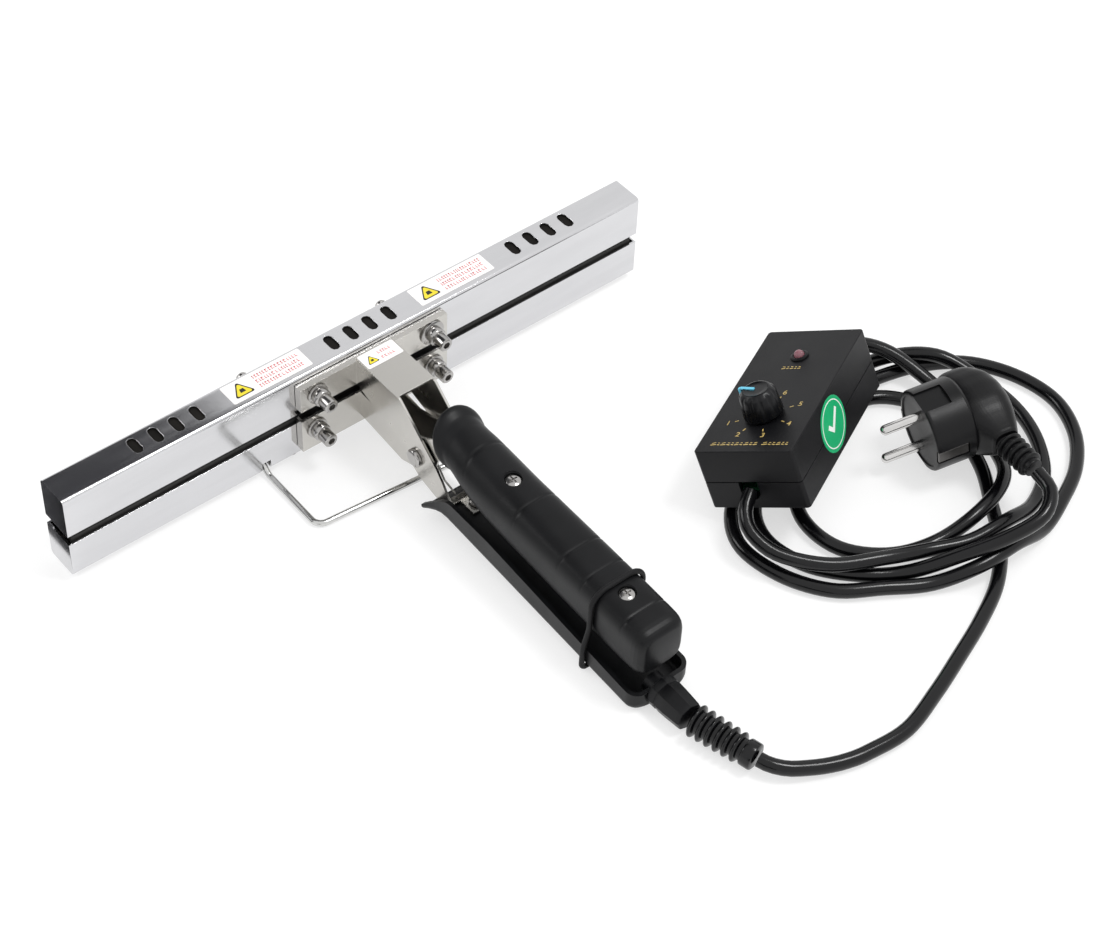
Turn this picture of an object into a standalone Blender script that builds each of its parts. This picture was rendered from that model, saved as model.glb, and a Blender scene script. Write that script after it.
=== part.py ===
"""Hand-held heated jaw sealer: two crimping jaws on crossed arms, a corded heat control box and a mains plug."""
import math

import bmesh
import bpy
import numpy as np

for leftover in list(bpy.data.objects):
    bpy.data.objects.remove(leftover, do_unlink=True)

# ---- driving dimensions, millimetres. +X runs along the jaws, -Y towards the handle ends, +Z up, floor at 0.
JAW_LENGTH = 320.0
JAW_FRONT, JAW_BACK = 119.2, 136.8
UPPER_JAW_Z = (28.3, 50.5)
LOWER_JAW_Z = (3.5, 23.1)
SHEET = 1.0
CRIMP_PLANE = 25.7
CRIMP_GAP = 0.3
PIVOT = np.array([0.0, 71.0, 22.2])
PIN_RADIUS = 3.0
ARM_HALF, ARM_SHEET = 10.3, 1.2
INNER_HALF = 8.3
WING_HALF, WING_FACE = 41.0, 114.7
UPPER_BOLT, LOWER_BOLT = (32.0, 41.0), (33.0, 19.8)
GRIP_FRONT = 54.0
HANDLE_REAR, HANDLE_CORNER = -86.0, 6.0
HANDLE_WALL = 2.0
TAIL_END, TAIL_SCREW = 36.0, 40.5
CORD_RADIUS = 3.4
STAND_WIRE = 1.5
STAND_HINGE = np.array([0.0, 125.0, 7.0])
BOX_SIZE = (48.0, 93.0, 31.0)
BOX_SEAM = 14.0
KNOB_AT = (24.0, 27.6)
MM = 0.001

cutter_collection = bpy.data.collections.new("cutters")
bpy.context.scene.collection.children.link(cutter_collection)


def material(name, colour, metallic, roughness):
    mat = bpy.data.materials.new(name)
    mat.use_nodes = True
    shader = mat.node_tree.nodes["Principled BSDF"]
    shader.inputs["Base Color"].default_value = (*colour, 1.0)
    shader.inputs["Metallic"].default_value = metallic
    shader.inputs["Roughness"].default_value = roughness
    return mat


# ---- geometry helpers: each returns (vertices in mm, faces) of one closed body
def loft(rings):
    n = len(rings[0])
    faces = [tuple(range(n))[::-1], tuple((len(rings) - 1) * n + i for i in range(n))]
    for k in range(len(rings) - 1):
        a, b = k * n, (k + 1) * n
        faces += [(a + i, a + (i + 1) % n, b + (i + 1) % n, b + i) for i in range(n)]
    return np.vstack(rings), faces


def prism(outline, axis, low, high):
    outline = np.asarray(outline, float)
    rings = []
    for level in (low, high):
        ring = np.insert(outline, axis, level, axis=1)
        rings.append(ring)
    return loft(rings)


def block(low, high):
    (x0, y0, z0), (x1, y1, z1) = low, high
    return prism([(y0, z0), (y1, z0), (y1, z1), (y0, z1)], 0, x0, x1)


def frame_of(direction):
    d = np.asarray(direction, float)
    d = d / np.linalg.norm(d)
    side = np.cross(d, (0.0, 0.0, 1.0) if abs(d[2]) < 0.9 else (1.0, 0.0, 0.0))
    side /= np.linalg.norm(side)
    return d, side, np.cross(d, side)


def circle_ring(centre, direction, radius, n, phase=0.0):
    d, u, v = frame_of(direction)
    t = np.linspace(0.0, 2 * math.pi, n, endpoint=False)[:, None] + phase
    return np.asarray(centre, float) + radius * (np.cos(t) * u + np.sin(t) * v)


def turned(profile, start, direction, n=16, phase=0.0):
    d = frame_of(direction)[0]
    start = np.asarray(start, float)
    return loft([circle_ring(start + d * s, d, r, n, phase) for s, r in profile])


def turned_ring(profile, start, direction, n=16):
    d = frame_of(direction)[0]
    start = np.asarray(start, float)
    rings = [circle_ring(start + d * s, d, r, n) for s, r in profile]
    faces, m = [], len(rings)
    for k in range(m):
        a, b = k * n, ((k + 1) % m) * n
        faces += [(a + i, a + (i + 1) % n, b + (i + 1) % n, b + i) for i in range(n)]
    return np.vstack(rings), faces


def rounded(points, radius, steps=4, closed=True):
    pts = [np.asarray(p, float) for p in points]
    radii = radius if isinstance(radius, (list, tuple)) else [radius] * len(pts)
    out = []
    for i, p in enumerate(pts):
        r = radii[i]
        if r == 0 or (not closed and i in (0, len(pts) - 1)):
            out.append(p)
            continue
        a, b = pts[i - 1] - p, pts[(i + 1) % len(pts)] - p
        a, b = a / np.linalg.norm(a), b / np.linalg.norm(b)
        half = math.acos(max(-1.0, min(1.0, float(a @ b)))) / 2
        centre = p + (a + b) / np.linalg.norm(a + b) * r / math.sin(half)
        s, e, turn = p + a * r / math.tan(half) - centre, p + b * r / math.tan(half) - centre, math.pi - 2 * half
        for k in range(steps + 1):
            w = k / steps
            out.append(centre + (math.sin((1 - w) * turn) * s + math.sin(w * turn) * e) / math.sin(turn))
    return np.array(out)


def several(*bodies):
    verts, faces, count = [], [], 0
    for v, f in bodies:
        verts.append(v)
        faces += [tuple(i + count for i in face) for face in f]
        count += len(v)
    return np.vstack(verts), faces


def placed(body, turn, at):
    return body[0] @ np.asarray(turn).T + np.asarray(at), body[1]


def solid(name, body, mat, origin=(0, 0, 0), collection=None):
    mesh = bpy.data.meshes.new(name)
    mesh.from_pydata(((body[0] - np.asarray(origin)) * MM).tolist(), [], body[1])
    bm = bmesh.new()
    bm.from_mesh(mesh)
    bmesh.ops.recalc_face_normals(bm, faces=bm.faces)
    bm.to_mesh(mesh)
    bm.free()
    ob = bpy.data.objects.new(name, mesh)
    ob.location = np.asarray(origin) * MM
    (collection or bpy.context.scene.collection).objects.link(ob)
    if mat:
        mesh.materials.append(mat)
    return ob


def carve(ob, name, body, operation="DIFFERENCE"):
    cutter = solid(name, body, None, collection=cutter_collection)
    cutter.hide_render = True
    cutter.display_type = "WIRE"
    modifier = ob.modifiers.new(name, "BOOLEAN")
    modifier.operation = operation
    modifier.solver = "EXACT"
    modifier.object = cutter


def wire(name, points, radius, mat, origin=(0, 0, 0), fineness=2):
    curve = bpy.data.curves.new(name, "CURVE")
    curve.dimensions = "3D"
    curve.bevel_depth = radius * MM
    curve.bevel_resolution = fineness
    curve.use_fill_caps = True
    curve.render_resolution_u = 0
    spline = curve.splines.new("POLY")
    local = (np.asarray(points) - np.asarray(origin)) * MM
    spline.points.add(len(local) - 1)
    spline.points.foreach_set("co", np.c_[local, np.ones(len(local))].ravel())
    ob = bpy.data.objects.new(name, curve)
    ob.location = np.asarray(origin) * MM
    bpy.context.scene.collection.objects.link(ob)
    curve.materials.append(mat)
    return ob


def smooth_route(points, spacing):
    """Catmull-Rom through the points, then evenly spaced samples along it."""
    p = np.asarray(points, float)
    p = np.vstack([2 * p[0] - p[1], p, 2 * p[-1] - p[-2]])
    t = np.linspace(0, 1, 16, endpoint=False)[:, None]
    fine = [0.5 * (2 * b + (c - a) * t + (2 * a - 5 * b + 4 * c - d) * t ** 2 + (3 * b - a - 3 * c + d) * t ** 3)
            for a, b, c, d in zip(p[:-3], p[1:-2], p[2:-1], p[3:])]
    fine = np.vstack(fine + [p[-2:-1]])
    run = np.r_[0, np.cumsum(np.linalg.norm(np.diff(fine, axis=0), axis=1))]
    s = np.linspace(0, run[-1], int(round(run[-1] / spacing)) + 1)
    return np.column_stack([np.interp(s, run, fine[:, k]) for k in range(3)])


steel = material("polished_steel", (0.78, 0.78, 0.79), 1.0, 0.16)
arm_steel = material("arm_steel", (0.66, 0.65, 0.62), 1.0, 0.28)
fastener = material("fastener_steel", (0.60, 0.60, 0.60), 1.0, 0.3)
alloy = material("heater_alloy", (0.55, 0.55, 0.56), 1.0, 0.5)
dark_bar = material("crimp_coating", (0.03, 0.03, 0.03), 0.0, 0.6)
element = material("heating_element", (0.35, 0.33, 0.32), 1.0, 0.45)
felt = material("insulation", (0.75, 0.72, 0.65), 0.0, 0.95)
grip_black = material("grip_plastic", (0.025, 0.025, 0.027), 0.0, 0.5)
handle_black = material("handle_plastic", (0.03, 0.03, 0.033), 0.0, 0.4)
cord_black = material("cord_sheath", (0.012, 0.012, 0.012), 0.0, 0.3)
elastic = material("elastic_cord", (0.01, 0.01, 0.01), 0.0, 0.7)
box_black = material("box_plastic", (0.022, 0.022, 0.024), 0.0, 0.45)
board_green = material("circuit_board", (0.05, 0.22, 0.1), 0.0, 0.5)
knob_black = material("knob_plastic", (0.02, 0.02, 0.02), 0.0, 0.35)
lamp_clear = material("lamp_lens", (0.75, 0.45, 0.45), 0.0, 0.1)
plug_black = material("plug_plastic", (0.015, 0.015, 0.015), 0.0, 0.4)
spring_steel = material("spring_steel", (0.5, 0.5, 0.5), 1.0, 0.3)


# ---- jaws
def stadium(x, y, length, width, steps=5):
    half, r = length / 2 - width / 2, width / 2
    t = np.linspace(0, math.pi, steps)
    front = np.c_[x + r * np.cos(t), y + half + r * np.sin(t)]
    rear = np.c_[x - r * np.cos(t), y - half - r * np.sin(t)]
    return np.vstack([front, rear])


def tooth_line(sign):
    """Seal face across the jaw: straight ridges along X, 2 mm apart and 0.8 mm high, meshing with the other bar."""
    y = np.arange(121.2, 134.81, 1.0)
    z = CRIMP_PLANE + sign * CRIMP_GAP / 2 + 0.4 * np.where(np.arange(len(y)) % 2, 1.0, -1.0)
    return np.c_[y, z]


def jaw_cover(name, z_range, opens_down, origin):
    low, high = z_range
    shut = high if opens_down else low
    inward = -1 if opens_down else 1
    corners = [(JAW_FRONT, low), (JAW_BACK, low), (JAW_BACK, high), (JAW_FRONT, high)]
    bend = [0, 0, 1.8, 1.8] if opens_down else [1.8, 1.8, 0, 0]
    ob = solid(name, prism(rounded(corners, bend, 3), 0, -JAW_LENGTH / 2, JAW_LENGTH / 2), steel, origin)
    floor, mouth = shut + inward * SHEET, (low - 2 if opens_down else high + 2)
    inside = block((-JAW_LENGTH / 2 + SHEET, JAW_FRONT + SHEET, min(floor, mouth)),
                   (JAW_LENGTH / 2 - SHEET, JAW_BACK - SHEET, max(floor, mouth)))
    carve(ob, name + "_inside", inside)
    return ob


def bore(x, y0, y1, z, radius, n=16):
    return turned([(0, radius), (y1 - y0, radius)], (x, y0, z), (0, 1, 0), n)


def build_upper_jaw():
    cover = jaw_cover("upper_jaw_cover", UPPER_JAW_Z, True, (0, 0, 0))
    vents = [prism(stadium(group + k * 10.6, 128.7, 10.0, 4.6), 2, 48, 52)
             for group in (-101.8, 2.2, 106.2) for k in (-1.5, -0.5, 0.5, 1.5)]
    holes = [bore(s * UPPER_BOLT[0], 117, 121, UPPER_BOLT[1], 2.2) for s in (-1, 1)]
    holes += [bore(x, 135, 138, 46.5, 1.9) for x in (-56.0, 20.5)]
    carve(cover, "upper_jaw_openings", several(*vents, *holes))
    groove = [(124.0, 41.0)] + [(128 - 4.0 * math.cos(t), 37.1 - 4.0 * math.sin(t))
                                for t in np.linspace(0, math.pi, 9)] + [(132.0, 41.0)]
    bar = [(121, 30.3), (135, 30.3), (135, 41.0)] + groove[::-1] + [(121, 41.0)]
    solid("upper_heater_bar", prism(bar, 0, -156, 156), alloy)
    teeth = tooth_line(1)
    bar = [tuple(p) for p in teeth] + [(135.0, CRIMP_PLANE + 0.4), (135.0, 30.2), (121.0, 30.2),
                                       (121.0, CRIMP_PLANE + 0.4)]
    solid("upper_crimp_bar", prism(bar, 0, -157.5, 157.5), dark_bar)
    solid("upper_heating_rod", turned([(0, 3.85), (300, 3.85)], (-150, 128, 37.1), (1, 0, 0), 20), element)
    solid("upper_insulation_pad", block((-156, 121.5, 44.0), (156, 133.6, 49.2)), felt)
    solid("temperature_sensor", turned([(0, 1.0), (1, 1.35), (24, 1.35)], (20, 133.4, 42.5), (1, 0, 0), 12), fastener)
    for side, x in (("left", -56.0), ("right", 20.5)):
        solid("back_screw_" + side, turned([(0, 1.6), (2.9, 1.6), (2.91, 3.0), (4.2, 3.0), (5.0, 2.5), (5.58, 1.4)],
                                           (x, 134.0, 46.5), (0, 1, 0), 14), fastener)


def build_lower_jaw():
    cover = jaw_cover("lower_jaw_cover", LOWER_JAW_Z, False, PIVOT)
    holes = [bore(s * LOWER_BOLT[0], 117, 121, LOWER_BOLT[1], 2.2) for s in (-1, 1)]
    slots = [block((x - 2.3, 118, 1.0), (x + 2.3, 133.0, 9.0)) for x in (-58.0, 27.0)]
    screws = [turned([(0, 1.5), (4, 1.5)], (x, 122.6, 2.0), (0, 0, 1), 12) for x in (-42.3, 11.3)]
    carve(cover, "lower_jaw_openings", several(*holes, *slots, *screws))
    groove = [(124.0, 21.3)] + [(128 - 4.0 * math.cos(t), 17.4 - 4.0 * math.sin(t))
                                for t in np.linspace(0, math.pi, 9)] + [(132.0, 21.3)]
    bar = [(121, 12.2), (135, 12.2), (135, 21.3)] + groove[::-1] + [(121, 21.3)]
    solid("lower_heater_bar", prism(bar, 0, -156, 156), alloy, PIVOT)
    teeth = tooth_line(-1)
    bar = [(121.0, 21.4), (135.0, 21.4), (135.0, CRIMP_PLANE - 0.4)] + [tuple(p) for p in teeth[::-1]] \
        + [(121.0, CRIMP_PLANE - 0.4)]
    solid("lower_crimp_bar", prism(bar, 0, -157.5, 157.5), dark_bar, PIVOT)
    solid("lower_heating_rod", turned([(0, 3.85), (300, 3.85)], (-150, 128, 17.4), (1, 0, 0), 20), element, PIVOT)
    solid("lower_insulation_pad", block((-156, 121.5, 9.8), (156, 134.5, 12.0)), felt, PIVOT)
    for side, x, flip in (("left", -42.3, -1), ("right", 11.3, 1)):
        a, b = sorted((x - flip * 4.0, x + flip * 12.4))
        clip = solid("stand_clip_" + side, block((a, 120.9, 4.7), (b, 128.0, 9.4)), fastener, PIVOT)
        carve(clip, "stand_clip_holes_" + side, several(
            turned([(0, 1.65), (14, 1.65)], (x + flip * 2.6, 125.0, 7.0), (flip, 0, 0), 16),
            turned([(0, 1.4), (3.4, 1.4)], (x, 122.6, 4.0), (0, 0, 1), 12)))
        solid("stand_screw_" + side, turned([(0, 1.3), (0.5, 2.2), (1.1, 2.5), (1.11, 1.2), (4.6, 1.2)],
                                            (x, 122.6, 2.3), (0, 0, 1), 16), fastener, PIVOT)


# ---- crossed arms
def handle_floor(y):
    """Underside of the lower handle along its length; it turns down into a lip at the front."""
    return float(np.interp(y, [-86, -84, -81.5, -79, 42, 46, 50, 54, 57], [1.6, 0.5, 0.1, 0.0, 9.05, 8.8, 7.6, 5.8, 4.2]))


def wing(z0, z1, flange_z):
    """Bolt plate across the arm, folded towards the jaw along one side and, on the upper one, along its top."""
    face, back, fold = WING_FACE, WING_FACE + ARM_SHEET, 118.9
    plan = [(-WING_HALF, face), (WING_HALF, face), (WING_HALF, back), (-WING_HALF + ARM_SHEET, back),
            (-WING_HALF + ARM_SHEET, fold), (-WING_HALF, fold)]
    bodies = [prism(plan, 2, z0, z1)]
    if flange_z:
        bodies.append(block((-WING_HALF, face, flange_z - ARM_SHEET), (WING_HALF, fold, flange_z)))
    return bodies


def build_upper_arm():
    tail = [(y, handle_floor(y) + 2.2) for y in (TAIL_END, 42, 46, 50, 54)]
    outline = [(WING_FACE + 0.6, 49.0), (83.3, 49.0), (56.8, 26.2), (52.4, 21.0), (46.5, 12.6), (42, 12.5),
               (TAIL_END, 12.05)] + tail + [(57, 8.3), (68.4, 11.2), (89.9, 24.9), (108.5, 31.0), (WING_FACE + 0.6, 33.5)]
    arm = solid("upper_arm", prism(outline, 0, -ARM_HALF, ARM_HALF), arm_steel)
    floor = [(y, handle_floor(y) + 2.2 + ARM_SHEET) for y in (50, 46, 42, TAIL_END)]
    hollow = [(118, 47.8), (84.6, 47.8), (84.6, 60), (26, 60), (26, floor[-1][1])] + floor[::-1] + [(50.5, 0), (118, 0)]
    carve(arm, "upper_arm_hollow", prism(hollow, 0, -ARM_HALF + ARM_SHEET, ARM_HALF - ARM_SHEET))
    plate, flange = wing(33.5, 47.5, 47.5)
    carve(arm, "upper_wing_plate", plate, "UNION")
    carve(arm, "upper_wing_flange", flange, "UNION")
    holes = [bore(s * UPPER_BOLT[0], 112, 118, UPPER_BOLT[1], 2.2) for s in (-1, 1)]
    pivot = turned([(0, PIN_RADIUS + 0.06), (30, PIN_RADIUS + 0.06)], (-15, PIVOT[1], PIVOT[2]), (1, 0, 0), 24)
    screw = turned([(0, 1.8), (12, 1.8)], (0, TAIL_SCREW, 4), (0, 0, 1), 16)
    carve(arm, "upper_tail_sides", several(block((-12, 26, 0), (-5.2, 45.5, 16)), block((5.2, 26, 0), (12, 45.5, 16))))
    carve(arm, "upper_arm_holes", several(pivot, screw, *holes))


def build_lower_arm():
    lower_edge = [(WING_FACE + 0.6, 11.9), (112, 11.6), (84.3, 8.2), (73.6, 11.9), (66, 14.5)]
    outline = [(WING_FACE + 0.6, 26.7), (108, 26.2), (92, 24.6), (82, 27.6), (66, 36.5), (56, 44.6), (9, 38.8), (9, 31.0),
               (55.5, 35.8), (58.8, 26.0), (61.5, 18.2)] + lower_edge[::-1]
    arm = solid("lower_arm", prism(outline, 0, -INNER_HALF, INNER_HALF), arm_steel, PIVOT)
    floor = [(y, z + 1.25) for y, z in lower_edge[:4]]
    hollow = [(118, 60), (4, 60), (4, 5), (69.0, 5), (69.0, 13.45 + 1.25)] + floor[::-1] + [(118, floor[0][1])]
    carve(arm, "lower_arm_hollow", prism(hollow, 0, -INNER_HALF + ARM_SHEET, INNER_HALF - ARM_SHEET))
    carve(arm, "lower_wing_plate", wing(8.5, 27.5, None)[0], "UNION")
    holes = [bore(s * LOWER_BOLT[0], 112, 118, LOWER_BOLT[1], 2.2) for s in (-1, 1)]
    pivot = turned([(0, PIN_RADIUS + 0.08), (30, PIN_RADIUS + 0.08)], (-15, PIVOT[1], PIVOT[2]), (1, 0, 0), 24)
    carve(arm, "lower_arm_holes", several(pivot, *holes))


def build_fasteners():
    for level, (bx, bz), origin in (("upper", UPPER_BOLT, (0, 0, 0)), ("lower", LOWER_BOLT, PIVOT)):
        for side, s in (("left", -1), ("right", 1)):
            wide = 6.4 if (level, side) == ("upper", "right") else 5.2
            at = (s * bx, 0, bz)
            solid("%s_washer_%s" % (level, side), turned_ring([(113.6, 2.2), (113.6, wide), (114.6, wide), (114.6, 2.2)],
                                                             at, (0, 1, 0), 16), fastener, origin)
            solid("%s_spacer_%s" % (level, side), turned_ring([(116.0, 2.2), (116.0, 5.0), (119.1, 5.0), (119.1, 2.2)],
                                                             at, (0, 1, 0), 14), fastener, origin)
            bolt = solid("%s_bolt_%s" % (level, side), turned(
                [(103.4, 2.9), (103.9, 3.4), (109.4, 3.4), (109.41, 3.9), (109.8, 4.3), (113.2, 4.3), (113.5, 4.0),
                 (113.51, 2.0), (120.8, 2.0)], at, (0, 1, 0), 12), fastener, origin)
            carve(bolt, "socket_%s_%s" % (level, side),
                  turned([(100, 1.8), (106, 1.8)], at, (0, 1, 0), 6))
    solid("pivot_pin", turned([(0, 3.6), (0.7, 4.5), (2.4, 4.5), (2.41, PIN_RADIUS), (25.4, PIN_RADIUS), (25.9, 2.6)],
                              (-12.8, PIVOT[1], PIVOT[2]), (1, 0, 0), 24), fastener)
    solid("pivot_clip", turned_ring([(0, 3.08), (0, 5.0), (1.0, 5.0), (1.0, 3.08)], (10.5, PIVOT[1], PIVOT[2]), (1, 0, 0), 24),
          fastener)
    solid("lower_handle_screw", turned([(0, 1.4), (3.34, 1.4), (3.35, 3.4), (4.44, 3.4), (5.24, 2.4)],
                                       (0, TAIL_SCREW, 9.3), (0, 0, 1), 20), fastener)


def build_opening_spring():
    t = np.linspace(0.5 * math.pi, 8.5 * math.pi, 33)
    coil = np.c_[-4.0 + 8.0 * (t - t[0]) / (t[-1] - t[0]), PIVOT[1] + 5.2 * np.sin(t - math.pi),
                 PIVOT[2] + 5.2 * np.cos(t - math.pi)]
    first = np.array([(-4.4, 50.0, 12.4), (-4.3, 58.0, 14.3)])
    last = np.array([(4.3, 60.0, 33.5), (4.4, 48.0, 36.5)])
    wire("opening_spring", np.vstack([first, coil, last]), 0.55, spring_steel, fineness=1)


# ---- handles
def grip_axis(y):
    return 37.5 - 0.0547 * (GRIP_FRONT - y)


# rows along the grip: place, half width, lift of the centre above the axis, forward lean of the row
GRIP_ROWS = [(55.2, 12.1, 5.4, 0.45), (54.7, 12.8, 5.4, 0.45), (53.9, 13.2, 5.3, 0.45), (52.4, 13.2, 5.2, 0.45),
             (51.2, 12.9, 5.0, 0.45), (50.0, 12.4, 4.8, 0.45), (48.4, 12.2, 4.5, 0.45), (44, 12.5, 3.6, 0.42),
             (38, 13.1, 2.5, 0.35), (30, 13.4, 1.3, 0.22), (20, 13.4, 0.4, 0.08), (12, 13.3, 0, 0), (-10, 13.1, 0, 0),
             (-45, 12.9, 0, 0), (-74, 12.8, 0, 0), (-78.5, 12.6, 0, 0), (-81.0, 12.0, 0, 0), (-82.8, 10.9, 0, 0),
             (-83.6, 9.4, 0, 0)]
GRIP_SCREWS = (("front", 15.8, 13.3, 4.2), ("rear", -59.6, 12.85, 12.0))


def build_upper_grip():
    """Round and leaning forward at its collar, squarer towards its end."""
    t = np.linspace(0, 2 * math.pi, 28, endpoint=False) + math.pi / 28
    c, s = np.cos(t), np.sin(t)
    rings = []
    for y, r, lift, lean in GRIP_ROWS:
        power = float(np.interp(y, [-60, 44], [4.2, 2.0]))
        x = r * np.sign(c) * np.abs(c) ** (2 / power)
        z = r * np.sign(s) * np.abs(s) ** (2 / power)
        rings.append(np.c_[x, y + lean * z, grip_axis(y) + lift + z])
    grip = solid("upper_grip", loft(rings), grip_black, PIVOT)
    pocket = [(64, 46.4), (8, 39.2), (8, 30.3), (64, 35.9)]
    heads, shafts = [], []
    for _, y, half, depth in GRIP_SCREWS:
        top = grip_axis(y) + half
        heads.append(turned([(0, 4.0), (6, 4.0)], (0, y, top - 1.7), (0, 0, 1), 16))
        shafts.append(turned([(0, 1.75), (depth + 1.2, 1.75)], (0, y, top - 2.2 - depth), (0, 0, 1), 16))
    carve(grip, "grip_pocket", prism(pocket, 0, -INNER_HALF - 0.3, INNER_HALF + 0.3))
    carve(grip, "grip_head_recesses", several(*heads))
    carve(grip, "grip_shaft_holes", several(*shafts))
    for name, y, half, depth in GRIP_SCREWS:
        solid("grip_screw_" + name, turned([(0, 1.5), (depth, 1.5), (depth + 0.01, 3.7), (depth + 0.7, 3.7),
                                            (depth + 1.4, 2.4)], (0, y, grip_axis(y) + half - 1.65 - depth), (0, 0, 1), 14),
              fastener, PIVOT)


def handle_sections(ys, inset, floor_gap, top):
    rings = []
    for y in ys:
        width = float(np.interp(y, [42, 46, 50, 54, 57], [16.0, 16.1, 16.5, 17.3, 18.2])) - inset
        past, radius = HANDLE_REAR + HANDLE_CORNER - y, HANDLE_CORNER - inset
        if past > 0:
            width -= radius - math.sqrt(max(0.0, radius ** 2 - min(radius, past) ** 2))
        z0 = handle_floor(y) + floor_gap
        z1 = top if top else float(np.interp(y, [-86, -76, 13, 38, 42, 46, 50, 54, 57],
                                             [10.4, 11.1, 21.2, 21.9, 21.2, 18.6, 15.0, 11.4, 8.6]))
        r = min(4.0 - inset * 0.7, width * 0.6)
        a = np.linspace(0, math.pi / 2, 4)
        left = np.c_[-width + r - r * np.cos(a), z0 + r - r * np.sin(a)]
        right = left[::-1] * (-1, 1)
        section = np.vstack([[(-width, z1)], left, right, [(width, z1)]])
        rings.append(np.insert(section, 1, y, axis=1))
    return rings


def build_lower_handle():
    ys = [57, 55.5, 54, 52, 50, 48, 46, 44, 42, 38, 13, -20, -50, -76, -80, -82, -84, -85.3, HANDLE_REAR]
    handle = solid("lower_handle", loft(handle_sections(ys, 0.0, 0.0, None)), handle_black)
    inner = [58.5] + ys[1:-3] + [-83.0, -83.7, HANDLE_REAR + HANDLE_WALL]
    carve(handle, "handle_trough", loft(handle_sections(inner, HANDLE_WALL, HANDLE_WALL, 40.0)))
    carve(handle, "handle_holes", several(
        turned([(0, 1.6), (20, 1.6)], (0, TAIL_SCREW, 3), (0, 0, 1), 16),
        turned([(0, 5.15), (20, 5.15)], (-2, -92, 8.0), (0, 1, 0), 24)))


def ribbed(length, ribs, root, crest, collar):
    profile, pitch = [(0, root)], (length - collar) / ribs
    for k in range(ribs):
        s = 0.4 + k * pitch
        profile += [(s, crest), (s + pitch * 0.42, crest), (s + pitch * 0.5, root), (s + pitch * 0.86, root)]
        crest -= 0.12
        root -= 0.08
    return profile


BOOT_START, BOOT_END = np.array([-1.5, -106.9, 8.1]), np.array([6.2, -137.1, 7.2])


def build_strain_relief():
    solid("gland_body", turned([(0, 5.0), (6.0, 5.0), (6.01, 7.5), (6.4, 7.85), (9.6, 7.85), (10.0, 7.5), (11.5, 7.8),
                                (16, 7.6), (24.4, 6.9), (25.0, 6.3)], (-2, -80.2, 8.0), (0, -1, 0), 8, math.pi / 8), handle_black)
    length = float(np.linalg.norm(BOOT_END - BOOT_START))
    profile = ribbed(length, 6, 5.4, 7.6, 5.8) + [(length - 5.6, 4.9), (length - 5.3, 6.2), (length - 0.5, 6.2),
                                                     (length, 5.7)]
    solid("strain_relief_boot", turned(profile, BOOT_START, BOOT_END - BOOT_START, 14), cord_black)


def build_retaining_loop():
    """Elastic loop: close round the grip, spreading to the lower handle's walls and pressed flat under it."""
    y0, top, base, high, low = -53.5, 45.95, 0.96, 14.35, 17.35
    right = [(low, base), (low, 13.5), (high, 25.0), (high, top)]
    bends = [3.0, 14.0, 14.0, 8.5]
    corner = rounded(right + [(-x, z) for x, z in right[::-1]], bends + bends[::-1], 4)
    path = np.insert(corner, 1, y0, axis=1)
    t = np.linspace(0, 2 * math.pi, 8, endpoint=False)
    rings = []
    for k, p in enumerate(path):
        along = path[(k + 1) % len(path)] - path[k - 1]
        along /= np.linalg.norm(along)
        across = np.array([0.0, 1.0, 0.0])
        outward = np.cross(along, across)
        thin = 0.84 if p[2] < base + 0.2 else 1.2
        rings.append(p + np.outer(np.cos(t), across) * 1.25 + np.outer(np.sin(t), outward) * thin)
    m, n = len(rings), len(t)
    faces = [(k * n + i, k * n + (i + 1) % n, (k + 1) % m * n + (i + 1) % n, (k + 1) % m * n + i)
             for k in range(m) for i in range(n)]
    solid("retaining_loop", (np.vstack(rings), faces), elastic)


def build_wire_stand():
    corners = [(-47.0, 125, 7.0), (-58.0, 125, 7.0), (-58.0, 117.8, 1.55), (-58.6, 79.6, 1.5), (27.0, 72.4, 1.5),
               (27.0, 117.8, 1.55), (27.0, 125, 7.0), (16.0, 125, 7.0)]
    path = rounded(corners, [0, 2.4, 3.0, 5.0, 5.0, 3.0, 2.4, 0], 4, closed=False)
    wire("wire_stand", path, STAND_WIRE, spring_steel, STAND_HINGE, 2)


# ---- heat control box, leaning on the cord
def turn_matrix(rx, ry, rz):
    cx, sx, cy, sy, cz, sz = (f(math.radians(a)) for a in (rx, ry, rz) for f in (math.cos, math.sin))
    return (np.array([[cz, -sz, 0], [sz, cz, 0], [0, 0, 1]]) @ np.array([[1, 0, 0], [0, cx, -sx], [0, sx, cx]])
            @ np.array([[cy, 0, sy], [0, 1, 0], [-sy, 0, cy]]))


BOX_TURN, BOX_AT = turn_matrix(-4.0, -24.71, -64.31), np.array([84.5, -23.3, 7.3])


def in_box(body):
    return placed(body, BOX_TURN, BOX_AT)


def box_plan(inset, posts):
    w, l, _ = BOX_SIZE
    i, p = inset, posts
    if not p:
        return rounded([(0, 0), (w, 0), (w, l), (0, l)], 1.6, 3)
    return [(i + p, i), (w - i - p, i), (w - i - p, i + p), (w - i, i + p), (w - i, l - i - p), (w - i - p, l - i - p),
            (w - i - p, l - i), (i + p, l - i), (i + p, l - i - p), (i, l - i - p), (i, i + p), (i + p, i + p)]


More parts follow.
